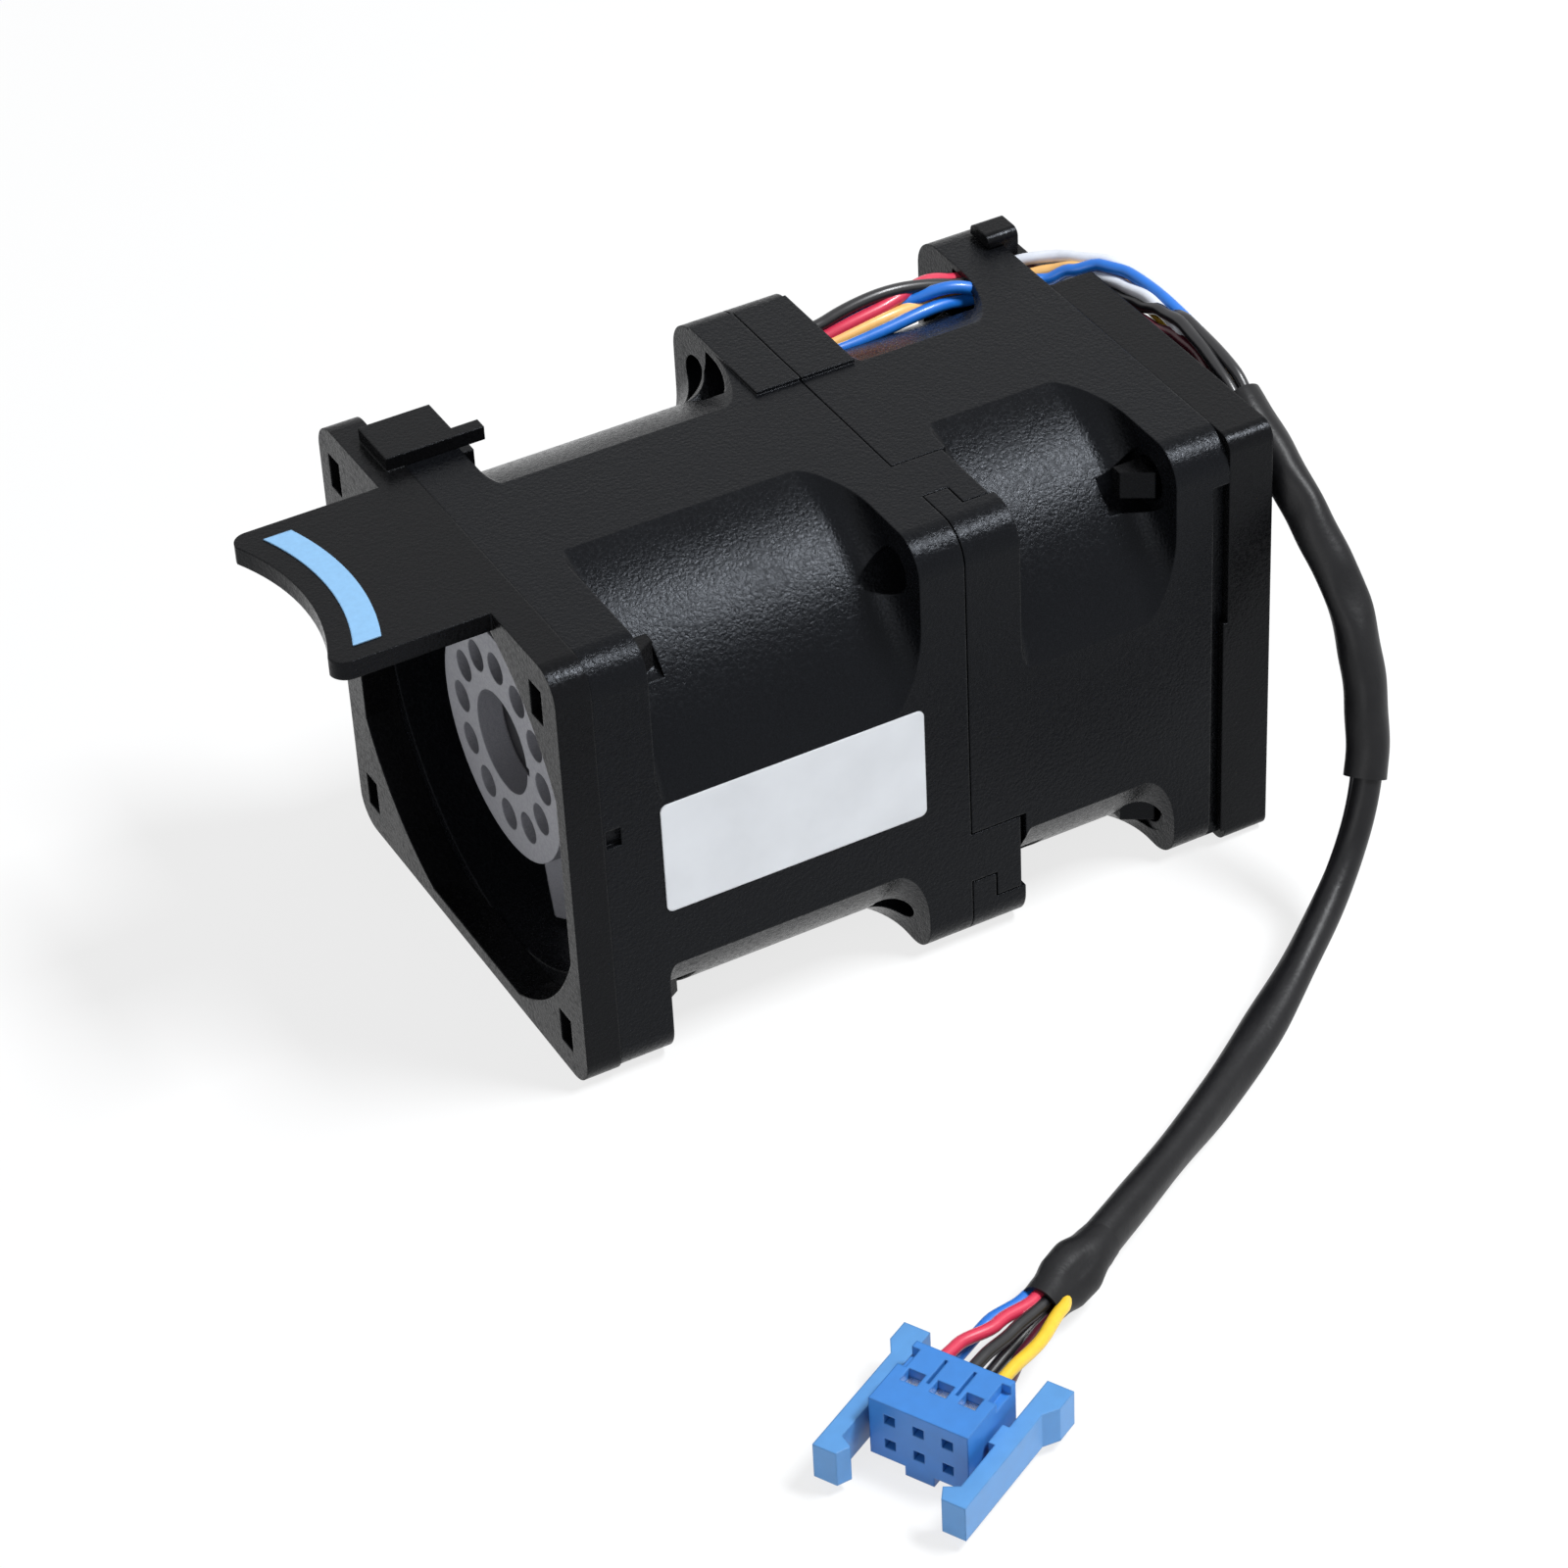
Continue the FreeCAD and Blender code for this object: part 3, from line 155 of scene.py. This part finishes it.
class Node:
    def __init__(self, tree, made):
        self.tree = tree
        self.made = made

    def socket(self, name):
        return Value(self.tree, self.made.outputs[name])


def softEdge(finish, radius):
    return finish.node("ShaderNodeBevel", {"samples": 4}, Radius=radius).socket("Normal")


def moulded(name, colour, fleckAndPaintedGlint, grain=4600, rough=0.23, gloss=0.105, pebble=0.000032,
            edge=0.0002):
    # filled plastic with a pebbled skin that breaks up the light; the lighter bluish flecks in its
    # base colour are partly its own speckled tone and partly painted glints of the glitter
    finish = Finish(name)
    cloud = finish.noise(160, 4.0, 0.65)
    fine = finish.noise(grain * 2.3, 2.0, 0.6)
    skin = finish.noise(grain, 3.0, 0.62)
    crumb = finish.node("ShaderNodeTexVoronoi", {"feature": "F1"}, Vector=finish.place,
                        Scale=grain * 0.62).socket("Distance")
    # painted glints: lighter bluish flecks mixed into the base colour stand in for the filled
    # plastic's glitter, with some of the speckle its own tone
    base = finish.mix(fine.lift(2.0), colour, fleckAndPaintedGlint)
    normal = finish.bump(skin + crumb * 0.6 + fine * 0.35, 1.0, pebble, softEdge(finish, edge))
    finish.shader.inputs["Specular IOR Level"].default_value = gloss
    finish.shader.inputs["Specular Tint"].default_value = (0.86, 0.91, 1.0, 1)
    unevenness = (cloud - 0.5) * 0.25
    return finish.set(Base_Color=base, Roughness=rough + unevenness + (crumb - 0.5) * 0.3,
                      Normal=normal)


def glossy(name, colour, rough=0.25, coat=0.0, grain=900, depth=0.00002, edge=0.0002):
    finish = Finish(name)
    cloud = finish.noise(grain, 3.0, 0.5)
    base = finish.mix(cloud, [c * 0.88 for c in colour], [min(1, c * 1.1) for c in colour])
    normal = finish.bump(cloud, 0.25, depth, softEdge(finish, edge))
    return finish.set(Base_Color=base, Roughness=rough + (cloud - 0.5) * 0.12, Normal=normal,
                      Coat_Weight=coat)


def turnedMetal(name, colour, rough):
    finish = Finish(name)
    streak = finish.noise(2200, 2.0, 0.6)
    base = finish.mix(streak, [c * 0.85 for c in colour], colour)
    return finish.set(Base_Color=base, Metallic=1.0, Roughness=rough + streak * 0.15,
                      Normal=finish.bump(streak, 0.2, 0.00001))


# each moulded finish's second colour is its lighter fleck colour, partly speckled tone and partly
# painted glint
finishes = {
    "frame": moulded("filledPlastic", (0.0018, 0.0019, 0.0022), (0.010, 0.011, 0.014)),
    "bracket": moulded("bracketPlastic", (0.0020, 0.0020, 0.0022), (0.009, 0.009, 0.010),
                       4600, 0.24, 0.10, 0.00002),
    "impeller": moulded("impellerPlastic", (0.19, 0.19, 0.212), (0.35, 0.35, 0.385),
                        4200, 0.40, 0.6, 0.00002),
    "touchBlue": glossy("touchBlue", (0.24, 0.47, 0.74), 0.42, 0.0, 2400, 0.00002),
    "label": glossy("labelFilm", (0.68, 0.70, 0.73), 0.34, 0.0, 190, 0.00001),
    "nylon": glossy("blueNylon", (0.040, 0.205, 0.58), 0.36, 0.0, 700),
    "armNylon": glossy("latchNylon", (0.090, 0.28, 0.60), 0.36, 0.0, 700),
    "tin": turnedMetal("tinContact", (0.82, 0.80, 0.77), 0.2),
    "steel": turnedMetal("motorSteel", (0.56, 0.56, 0.58), 0.25),
    "darkSteel": turnedMetal("rotorSteel", (0.05, 0.05, 0.055), 0.42),
    "brass": turnedMetal("motorBrass", (0.80, 0.60, 0.30), 0.25),
    "copper": glossy("windingCopper", (0.62, 0.25, 0.10), 0.3, 0.3),
    "board": glossy("circuitBoard", (0.02, 0.15, 0.06), 0.35, 0.2),
    "magnet": moulded("magnetFerrite", (0.03, 0.028, 0.028), (0.06, 0.06, 0.06), 4000, 0.6, 0.4),
}
wireColours = {"black": (0.010, 0.010, 0.012), "red": (0.66, 0.035, 0.085),
               "yellow": (0.86, 0.55, 0.03), "amber": (0.90, 0.50, 0.16),
               "blue": (0.012, 0.16, 0.62), "white": (0.72, 0.75, 0.82),
               "maroon": (0.085, 0.010, 0.022)}
for colourName, colour in wireColours.items():
    finishes[colourName] = glossy(colourName + "Wire", colour, 0.34, 0.1, 1500, 0.00001, 0.0001)


def sleeveFinish():
    finish = Finish("shrinkSleeve")
    cloud = finish.noise(420, 4.0, 0.6)
    fine = finish.noise(3200, 2.0, 0.5)
    base = finish.mix(cloud, (0.004, 0.004, 0.005), (0.010, 0.010, 0.011))
    normal = finish.bump(cloud + fine * 0.25, 0.5, 0.00010)
    finish.shader.inputs["Specular IOR Level"].default_value = 0.22
    return finish.set(Base_Color=base, Roughness=0.30 + cloud * 0.2, Normal=normal)


finishes["sleeve"] = sleeveFinish()
print("finishes made")

nodeFinish = {
    "front_fan_frame": "frame", "rear_fan_frame": "frame", "front_bracket": "bracket",
    "rear_bracket": "bracket", "touch_mark": "touchBlue", "rating_label": "label",
    "connector_housing": "nylon", "connector_contacts": "tin", "latch_left": "armNylon",
    "latch_right": "armNylon",
}
for fan in ("front", "rear"):
    nodeFinish.update({
        fan + "_impeller": "impeller", fan + "_bearing_tube": "brass", fan + "_bearings": "steel",
        fan + "_circuit_board": "board", fan + "_stator_core": "steel",
        fan + "_windings": "copper", fan + "_rotor_yoke": "darkSteel",
        fan + "_rotor_magnet": "magnet", fan + "_shaft_bush": "darkSteel",
        fan + "_shaft_clip": "steel", fan + "_shaft": "darkSteel",
    })


def dressNodes():
    for nodeName, finishName in nodeFinish.items():
        node = bpy.data.objects[nodeName]
        node.data.materials.clear()
        node.data.materials.append(finishes[finishName])
    print("solids dressed")


dressNodes()


# the cable: one route, the same points as the solids follow, in millimetres
cable = {
    "route": [
        (26.45, 12.6, 38.15), (28.5, 12.0, 38.5), (30.9, 9.1, 39.0), (32.2, 4.6, 39.3),
        (32.5, -2.5, 38.9), (32.7, -9.5, 37.4), (32.8, -16.0, 34.3), (33.2, -21.9, 29.6),
        (33.6, -26.4, 24.3), (32.9, -29.9, 18.2), (31.1, -32.7, 12.0), (27.4, -35.0, 6.4),
        (19.5, -39.9, 2.8), (9.0, -47.0, 1.9), (-1.6, -53.1, 2.3), (-11.4, -59.0, 3.1),
        (-20.7, -63.6, 3.3), (-25.95, -66.4, 3.6),
    ],
    "length": 0.131, "bundle": 0.0030, "wire": 0.52, "steps": 260,
    # each sleeve: the shares of the route where it starts and ends, and its radius
    "outerSleeve": (0.203, 0.458, 1.75), "mainSleeve": (0.440, 0.874, 1.62),
    "sleeveEnd": (0.856, 0.925, 1.0),
    "sleeveSides": 28, "lip": 0.86, "mouth": 0.80, "mouthDepth": 4,
    # inside the sleeves: eight wires in a ring round the ninth, from one share to the other
    "bunch": {"from": 0.24, "to": 0.87, "ring": 0.82, "around": 8},
    # each wire: its colour, where it ends, its offsets to the side and upwards in millimetres
    # behind the bracket, and the same on its way into the housing
    "wires": [
        ("white", 0.42, [(0, 0.9, 0.45), (0.02, 0.7, 0.45), (0.04, 0.5, 0.55), (0.06, 0.9, 0.6),
                         (0.08, 1.3, 0.1), (0.12, 1.5, -0.4), (0.17, 0.9, -0.6)], []),
        ("amber", 0.42, [(0, -0.5, -0.25), (0.02, -0.35, -0.2), (0.04, -0.4, 0.25),
                         (0.06, 0.1, 0.0), (0.08, 0.9, -0.6), (0.14, 1.1, -0.9)], []),
        ("blue", 1.0, [(0, -2.0, 0.35), (0.02, -1.8, 0.0), (0.04, -1.15, 0.55), (0.06, -0.1, 0.95),
                       (0.08, 0.45, 0.85), (0.11, 0.7, 0.55), (0.14, 1.0, -0.1),
                       (0.17, 1.1, -0.9)],
         [(0.905, -0.8, -0.5), (0.925, -1.2, -0.6), (0.955, -1.9, -1.0), (0.985, -1.6, -2.2),
          (1.0, -1.05, -2.48)]),
        ("white", 0.42, [(0, -1.4, -0.6), (0.02, -1.3, -0.9), (0.04, -1.0, -0.5),
                         (0.06, -0.6, 0.0), (0.08, -0.35, 0.1), (0.105, -0.1, 0.4),
                         (0.13, -0.1, 0.1), (0.155, -1.0, -0.5), (0.19, -1.1, -0.6)], []),
        ("black", 1.0, [(0, 0.2, -0.8), (0.03, 0.3, -1.2), (0.06, -1.2, -0.7), (0.08, -1.0, -0.66),
                        (0.10, -0.7, -0.3), (0.12, -0.3, 0.5), (0.14, -0.1, 1.0),
                        (0.16, -0.3, 1.15), (0.19, -0.6, 1.3)],
         [(0.905, 0.0, 0.2), (0.925, -0.1, 0.6), (0.955, -0.4, 0.7), (0.985, -0.78, 0.9),
          (1.0, -0.78, 0.91)]),
        ("maroon", 1.0, [(0, 1.3, -0.5), (0.03, 0.2, -1.6), (0.06, -1.2, -0.8),
                         (0.08, -1.45, -0.78), (0.10, -1.5, -0.78), (0.12, -1.4, -0.5),
                         (0.14, -0.75, -0.2), (0.16, -0.6, 0.0), (0.19, -1.2, 0.4)],
         [(0.905, 0.8, -0.3), (0.925, 1.1, 0.0), (0.955, 1.3, 0.2), (0.985, 1.9, 0.5),
          (1.0, 2.2, 0.6)]),
        ("black", 1.0, [(0, 1.0, -0.9), (0.04, 0.9, -1.0), (0.08, 0.2, -1.5), (0.11, 0.5, -0.6),
                        (0.14, 0.6, 0.7), (0.19, 0.5, 1.3)],
         [(0.905, 0.4, -0.5), (0.925, 0.5, -0.2), (0.955, 0.6, -0.6), (0.985, 0.78, -0.9),
          (1.0, 0.78, -0.91)]),
        ("red", 1.0, [(0, -0.9, -0.9), (0.02, -0.6, -0.8), (0.04, 0.3, -1.6), (0.08, 1.3, -1.6),
                      (0.16, 1.4, -1.2)],
         [(0.905, -0.5, 0.1), (0.925, -0.75, 0.3), (0.955, -1.5, 0.0), (0.985, -2.5, -0.6),
          (1.0, -2.6, -0.66)]),
        ("yellow", 1.0, [(0, 0.9, -1.5), (0.04, 1.4, -1.7), (0.08, 0.7, -1.9),
                         (0.14, 0.2, -1.8), (0.19, -0.2, -1.6)],
         [(0.905, 0.6, 0.4), (0.920, 1.0, 1.3), (0.955, 1.35, 1.9), (0.985, 1.05, 2.45),
          (1.0, 1.05, 2.48)]),
    ],
}


def splineThrough(name, points):
    line = bpy.data.curves.new(name, "CURVE")
    line.dimensions = "3D"
    line.resolution_u = 12
    spline = line.splines.new("NURBS")
    spline.points.add(len(points) - 1)
    for knot, point in zip(spline.points, points):
        knot.co = (*point, 1)
    spline.order_u = lineOrder
    spline.use_endpoint_u = True
    thread = bpy.data.objects.new(name, line)
    bpy.context.scene.collection.objects.link(thread)
    return thread


def pointsOf(thread):
    mesh = bpy.data.meshes.new_from_object(thread)
    points = [vertex.co.copy() for vertex in mesh.vertices]
    bpy.data.meshes.remove(mesh)
    return points


def evenSteps(points, count):
    # points spaced evenly along the line, and the line's length
    run = [0.0]
    for first, second in zip(points, points[1:]):
        run.append(run[-1] + (second - first).length)
    even, index = [], 0
    for step in range(count + 1):
        target = run[-1] * step / count
        while index < len(run) - 2 and run[index + 1] < target:
            index += 1
        share = (target - run[index]) / max(run[index + 1] - run[index], 1e-9)
        even.append(points[index].lerp(points[index + 1], min(1.0, share)))
    return even, run[-1]


def framesAlong(points, side):
    # a side and an upper direction at each point, carried along without twist
    frames = []
    for index, point in enumerate(points):
        ahead = points[min(index + 1, len(points) - 1)] - points[max(index - 1, 0)]
        ahead.normalize()
        side = (side - ahead * side.dot(ahead)).normalized()
        frames.append((point, side, ahead.cross(side)))
    return frames


def tubeFrom(name, rings, finish):
    # a skin over rings of points, each ring in the same order
    count = len(rings[0])
    points = [point for ring in rings for point in ring]
    faces = []
    for row in range(len(rings) - 1):
        for column in range(count):
            beside = (column + 1) % count
            faces.append((row * count + column, row * count + beside,
                          (row + 1) * count + beside, (row + 1) * count + column))
    faces.append(tuple(range(count))[::-1])
    faces.append(tuple((len(rings) - 1) * count + column for column in range(count)))
    mesh = bpy.data.meshes.new(name)
    mesh.from_pydata(points, [], faces)
    mesh.materials.append(finish)
    tube = bpy.data.objects.new(name, mesh)
    bpy.context.scene.collection.objects.link(tube)
    deselectAll()
    tube.select_set(True)
    bpy.context.view_layer.objects.active = tube
    bpy.ops.object.mode_set(mode="EDIT")
    bpy.ops.mesh.select_all(action="SELECT")
    bpy.ops.mesh.normals_make_consistent(inside=False)
    bpy.ops.object.mode_set(mode="OBJECT")
    bpy.ops.object.shade_smooth_by_angle(angle=smoothAngle)
    return tube


def roundRings(middles, radius, side):
    # round rings along a line, ready for tubeFrom
    angles = [math.tau * k / wireSides for k in range(wireSides)]
    return [[middle + (across * math.cos(angle) + up * math.sin(angle)) * radius * mm
             for angle in angles] for middle, across, up in framesAlong(middles, side)]


def joinedAs(name, strands):
    deselectAll()
    for strand in strands:
        strand.select_set(True)
    bpy.context.view_layer.objects.active = strands[0]
    bpy.ops.object.join()
    joined = bpy.context.object
    joined.name = name
    return joined


def smoothStep(value, low, high):
    share = min(1.0, max(0.0, (value - low) / (high - low)))
    return share * share * (3 - 2 * share)


route = splineThrough("cableRoute", [Vector(p) * mm for p in cable["route"]])
routePoints, routeLength = evenSteps(pointsOf(route), cable["steps"])
bpy.data.objects.remove(route)
farSide = Vector((0, 1, 0))
routeFrames = framesAlong(routePoints, farSide)
print(f"cable route {routeLength:.4f} m")


def between(keys, share):
    # a smooth value between stated ones
    for (start, *low), (end, *high) in zip(keys, keys[1:]):
        if share <= end:
            blend = smoothStep(share, start, end)
            return Vector([a + (b - a) * blend for a, b in zip(low, high)])
    return Vector(keys[-1][1:])


def offsetsOf(index):
    # bunched inside the sleeves, then fanned out to the housing
    *_, rearKeys, frontKeys = cable["wires"][index]
    bunch = cable["bunch"]
    angle = math.tau * index / bunch["around"]
    ring = 0.0 if index == bunch["around"] else bunch["ring"]
    bunched = (ring * math.cos(angle), ring * math.sin(angle))
    return rearKeys + [(bunch["from"], *bunched), (bunch["to"], *bunched)] + frontKeys


def makeWires():
    strands = []
    last = len(routeFrames) - 1
    for index, (colourName, lastShare, *_) in enumerate(cable["wires"]):
        keys = offsetsOf(index)
        middles = []
        for step in range(round(lastShare * last) + 1):
            point, side, up = routeFrames[step]
            offset = between(keys, step / last) * mm
            middles.append(point + side * offset.x + up * offset.y)
        rings = roundRings(middles, cable["wire"], routeFrames[0][1])
        strands.append(tubeFrom("cableWire" + str(index), rings, finishes[colourName]))
    return joinedAs("cableWires", strands)


def makeSleeve(name, stretch, shape):
    low, high, radius = stretch
    sides = cable["sleeveSides"]
    last = len(routeFrames) - 1
    rows = range(round(low * last), round(high * last) + 1)
    rings = []
    for order, step in enumerate(rows):
        point, side, up = routeFrames[step]
        share = order / (len(rows) - 1)
        ring = []
        for k in range(sides):
            across, rise = shape(math.tau * k / sides, share, radius)
            ring.append(point + side * across * mm + up * rise * mm)
        rings.append(ring)
    # a rolled lip at each end, and a short dark mouth behind it
    depth = cable["mouthDepth"]
    ends = [(rings[0], rings[depth]), (rings[-1], rings[-1 - depth])]
    turned = []
    for outer, inner in ends:
        for ring, drawnIn in ((outer, cable["lip"]), (inner, cable["mouth"])):
            middle = sum(ring, Vector()) / sides
            turned.append([middle.lerp(point, drawnIn) for point in ring])
    rings = [turned[1], turned[0], *rings, turned[2], turned[3]]
    return tubeFrom(name, rings, finishes["sleeve"])


def bellAt(value, middle, width):
    return math.exp(-((value - middle) / width) ** 2)


def crumpledSkin(angle, share, radius):
    # loose over the wires, dented where the bundle bends
    dent = bellAt(share, 0.55, 0.07) + 0.7 * bellAt(share, 0.30, 0.05)
    facet = math.cos(3 * angle + 9 * share) * (0.03 + 0.07 * dent)
    skin = radius * (1 - 0.10 * dent * math.sin(angle - 0.6) + facet
                     + 0.025 * math.sin(share * 41 + 2 * math.cos(angle)))
    return skin * math.cos(angle), skin * math.sin(angle)


def foldedSkin(angle, share, radius):
    # shrunk flat over the wires, its fold wandering slowly round the bundle
    fold = 0.5 + 1.5 * math.sin(share * 5.2 + 0.6)
    flat = math.cos(2 * (angle - fold))
    ridgeAt = 1.9 + 0.7 * math.sin(share * 6)
    ridge = bellAt(math.remainder(angle - ridgeAt, math.tau), 0, 0.22)
    girth = 0.84 + 0.16 * smoothStep(share, 0.0, 0.4)
    skin = radius * girth * (0.97 + 0.10 * flat + 0.035 * ridge + 0.02 * math.sin(share * 31))
    return skin * math.cos(angle), skin * math.sin(angle)


def pinchedSkin(angle, share, scale):
    # a flattened leaf: narrow, then wide, then drawn in to its mouth, with a crease on top
    keys = [(0, 1.66, 1.66), (0.16, 1.80, 1.68), (0.42, 2.30, 1.55), (0.62, 2.25, 1.45),
            (0.85, 1.85, 1.45), (1.0, 1.75, 1.5)]
    wide, tall = between(keys, share)
    crease = 0.22 * bellAt(math.cos(angle), 0.05, 0.16) * max(0, math.sin(angle))
    crease *= smoothStep(share, 0.25, 0.45) * (1 - smoothStep(share, 0.6, 0.85))
    return scale * wide * math.cos(angle), scale * (tall - crease) * math.sin(angle)


def makeCable():
    wires = makeWires()
    pieces = [
        makeSleeve("outerSleeve", cable["outerSleeve"], crumpledSkin),
        makeSleeve("mainSleeve", cable["mainSleeve"], foldedSkin),
        makeSleeve("sleeveEnd", cable["sleeveEnd"], pinchedSkin),
    ]
    for piece in (wires, *pieces):
        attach(piece, "module")
    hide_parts("loose_wires", "connector_wires")
    for piece, node in zip(pieces, ("outer_sleeve", "cable_sleeve", "sleeve_end")):
        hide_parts(node)
    print("cable laid")


makeCable()


# the fans' own wires, side by side in the corner channels
leads = {
    "wire": 0.54, "steps": 70,
    "wires": {
        "black": [(0.5, 13.0, 38.6), (6.9, 12.9, 38.9), (10, 12.8, 40.0), (14, 12.7, 40.5),
                  (18, 12.5, 39.9), (21.1, 12.2, 38.8), (26.3, 12.2, 38.7)],
        "red": [(0.5, 12.5, 37.9), (6.9, 12.3, 38.1), (10, 12.1, 39.0), (14, 12.1, 39.6),
                (17, 13.1, 39.9), (19, 13.5, 39.6), (21.1, 13.5, 38.6), (26.3, 13.4, 38.6)],
        "amber": [(0.5, 12.0, 37.2), (6.9, 11.8, 37.7), (10, 11.7, 38.3), (14, 11.6, 38.9),
                  (18, 12.5, 38.3), (21.1, 12.9, 37.3), (26.3, 12.9, 37.3)],
        "blue": [(0.5, 11.4, 37.9), (6.9, 11.4, 37.5), (9.5, 11.2, 37.6), (13, 11.0, 38.1),
                 (16.5, 11.0, 38.6), (19, 11.2, 38.5), (21.1, 11.5, 37.8), (26.3, 11.4, 37.8)],
        "blueUpper": [(0.5, 11.0, 38.8), (6.9, 13.6, 37.8), (12, 13.6, 39.0), (16, 12.4, 39.0),
                      (18.6, 11.5, 39.9), (20.6, 10.9, 39.6), (21.8, 10.5, 38.8),
                      (26.3, 10.4, 38.8)],
    },
}


def makeLeads():
    strands = []
    for leadName, points in leads["wires"].items():
        thread = splineThrough(leadName, [Vector(p) * mm for p in points])
        steps = evenSteps(pointsOf(thread), leads["steps"])[0]
        bpy.data.objects.remove(thread)
        rings = roundRings(steps, leads["wire"], farSide)
        colourName = "blue" if leadName == "blueUpper" else leadName
        strands.append(tubeFrom("lead" + leadName, rings, finishes[colourName]))
    bundle = joinedAs("leadWires", strands)
    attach(bundle, "module")
    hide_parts("lead_bundle")
    print("lead wires laid")


makeLeads()


# floor, backdrop and lamps
studio = {
    "size": 9.0, "below": -0.0001, "floor": (0.88, 0.88, 0.88), "white": 0.78, "world": 0.22,
    # each lamp: where it hangs, its turn in degrees, its size, its power and its colour
    "lamps": {
        "overheadBox": ((0.42, -0.32, 0.90), (0, 0, 0), (0.20, 0.34), 14.6, (0.96, 0.98, 1.0)),
        "fillBox": ((-0.75, -0.45, 0.55), (60, 0, -59), (0.5, 0.5), 1.6, (1, 1, 1)),
    },
}


def seenDirectly(finish):
    # 1 for what the camera, a mirror or a clear piece sees, 0 for soft light
    path = finish.node("ShaderNodeLightPath")
    seen = path.socket("Is Camera Ray") + path.socket("Is Glossy Ray")
    return (seen + path.socket("Is Transmission Ray")).above(0.5)


def floorFinish():
    # pale card that keeps the shadow faint
    finish = Finish("paleFloor")
    finish.set(Base_Color=studio["floor"], Roughness=0.95)
    finish.shader.inputs["Specular IOR Level"].default_value = 0.0
    glow = finish.node("ShaderNodeEmission", Color=(1, 1, 1), Strength=1.0).made
    blend = finish.node("ShaderNodeMixShader", Fac=seenDirectly(finish) * studio["white"]).made
    output = finish.tree.nodes["Material Output"]
    finish.tree.links.new(finish.shader.outputs[0], blend.inputs[1])
    finish.tree.links.new(glow.outputs[0], blend.inputs[2])
    finish.tree.links.new(blend.outputs[0], output.inputs["Surface"])
    return finish.material


def makeFloor():
    deselectAll()
    bpy.ops.mesh.primitive_plane_add(size=studio["size"], location=(0, 0, studio["below"]))
    floor = bpy.context.object
    floor.name = "floor"
    floor.data.materials.append(floorFinish())


def makeLamp(name, spot, turn, size, watts, colour):
    deselectAll()
    bpy.ops.object.light_add(type="AREA", location=spot, rotation=[math.radians(a) for a in turn])
    lamp = bpy.context.object
    lamp.name = name
    lamp.data.shape = "RECTANGLE"
    lamp.data.size, lamp.data.size_y = size
    lamp.data.energy = watts
    lamp.data.color = colour


def makeWorld():
    world = bpy.data.worlds.new("studioWorld")
    bpy.context.scene.world = world
    world.use_nodes = True
    nodes, links = world.node_tree.nodes, world.node_tree.links
    soft = nodes["Background"]
    soft.inputs["Color"].default_value = (1, 1, 1, 1)
    soft.inputs["Strength"].default_value = studio["world"]
    plain = nodes.new("ShaderNodeBackground")
    plain.inputs["Color"].default_value = (1, 1, 1, 1)
    plain.inputs["Strength"].default_value = 1.0
    path = nodes.new("ShaderNodeLightPath")
    blend = nodes.new("ShaderNodeMixShader")
    seen = path.outputs["Is Camera Ray"]
    for ray in ("Is Glossy Ray", "Is Transmission Ray"):
        either = nodes.new("ShaderNodeMath")
        either.operation = "MAXIMUM"
        links.new(seen, either.inputs[0])
        links.new(path.outputs[ray], either.inputs[1])
        seen = either.outputs[0]
    links.new(seen, blend.inputs["Fac"])
    links.new(soft.outputs[0], blend.inputs[1])
    links.new(plain.outputs[0], blend.inputs[2])
    links.new(blend.outputs[0], nodes["World Output"].inputs["Surface"])


def lightStudio():
    makeFloor()
    for name, settings in studio["lamps"].items():
        makeLamp(name, *settings)
    makeWorld()
    bpy.context.scene.view_settings.view_transform = "Standard"
    print("studio lit")


lightStudio()
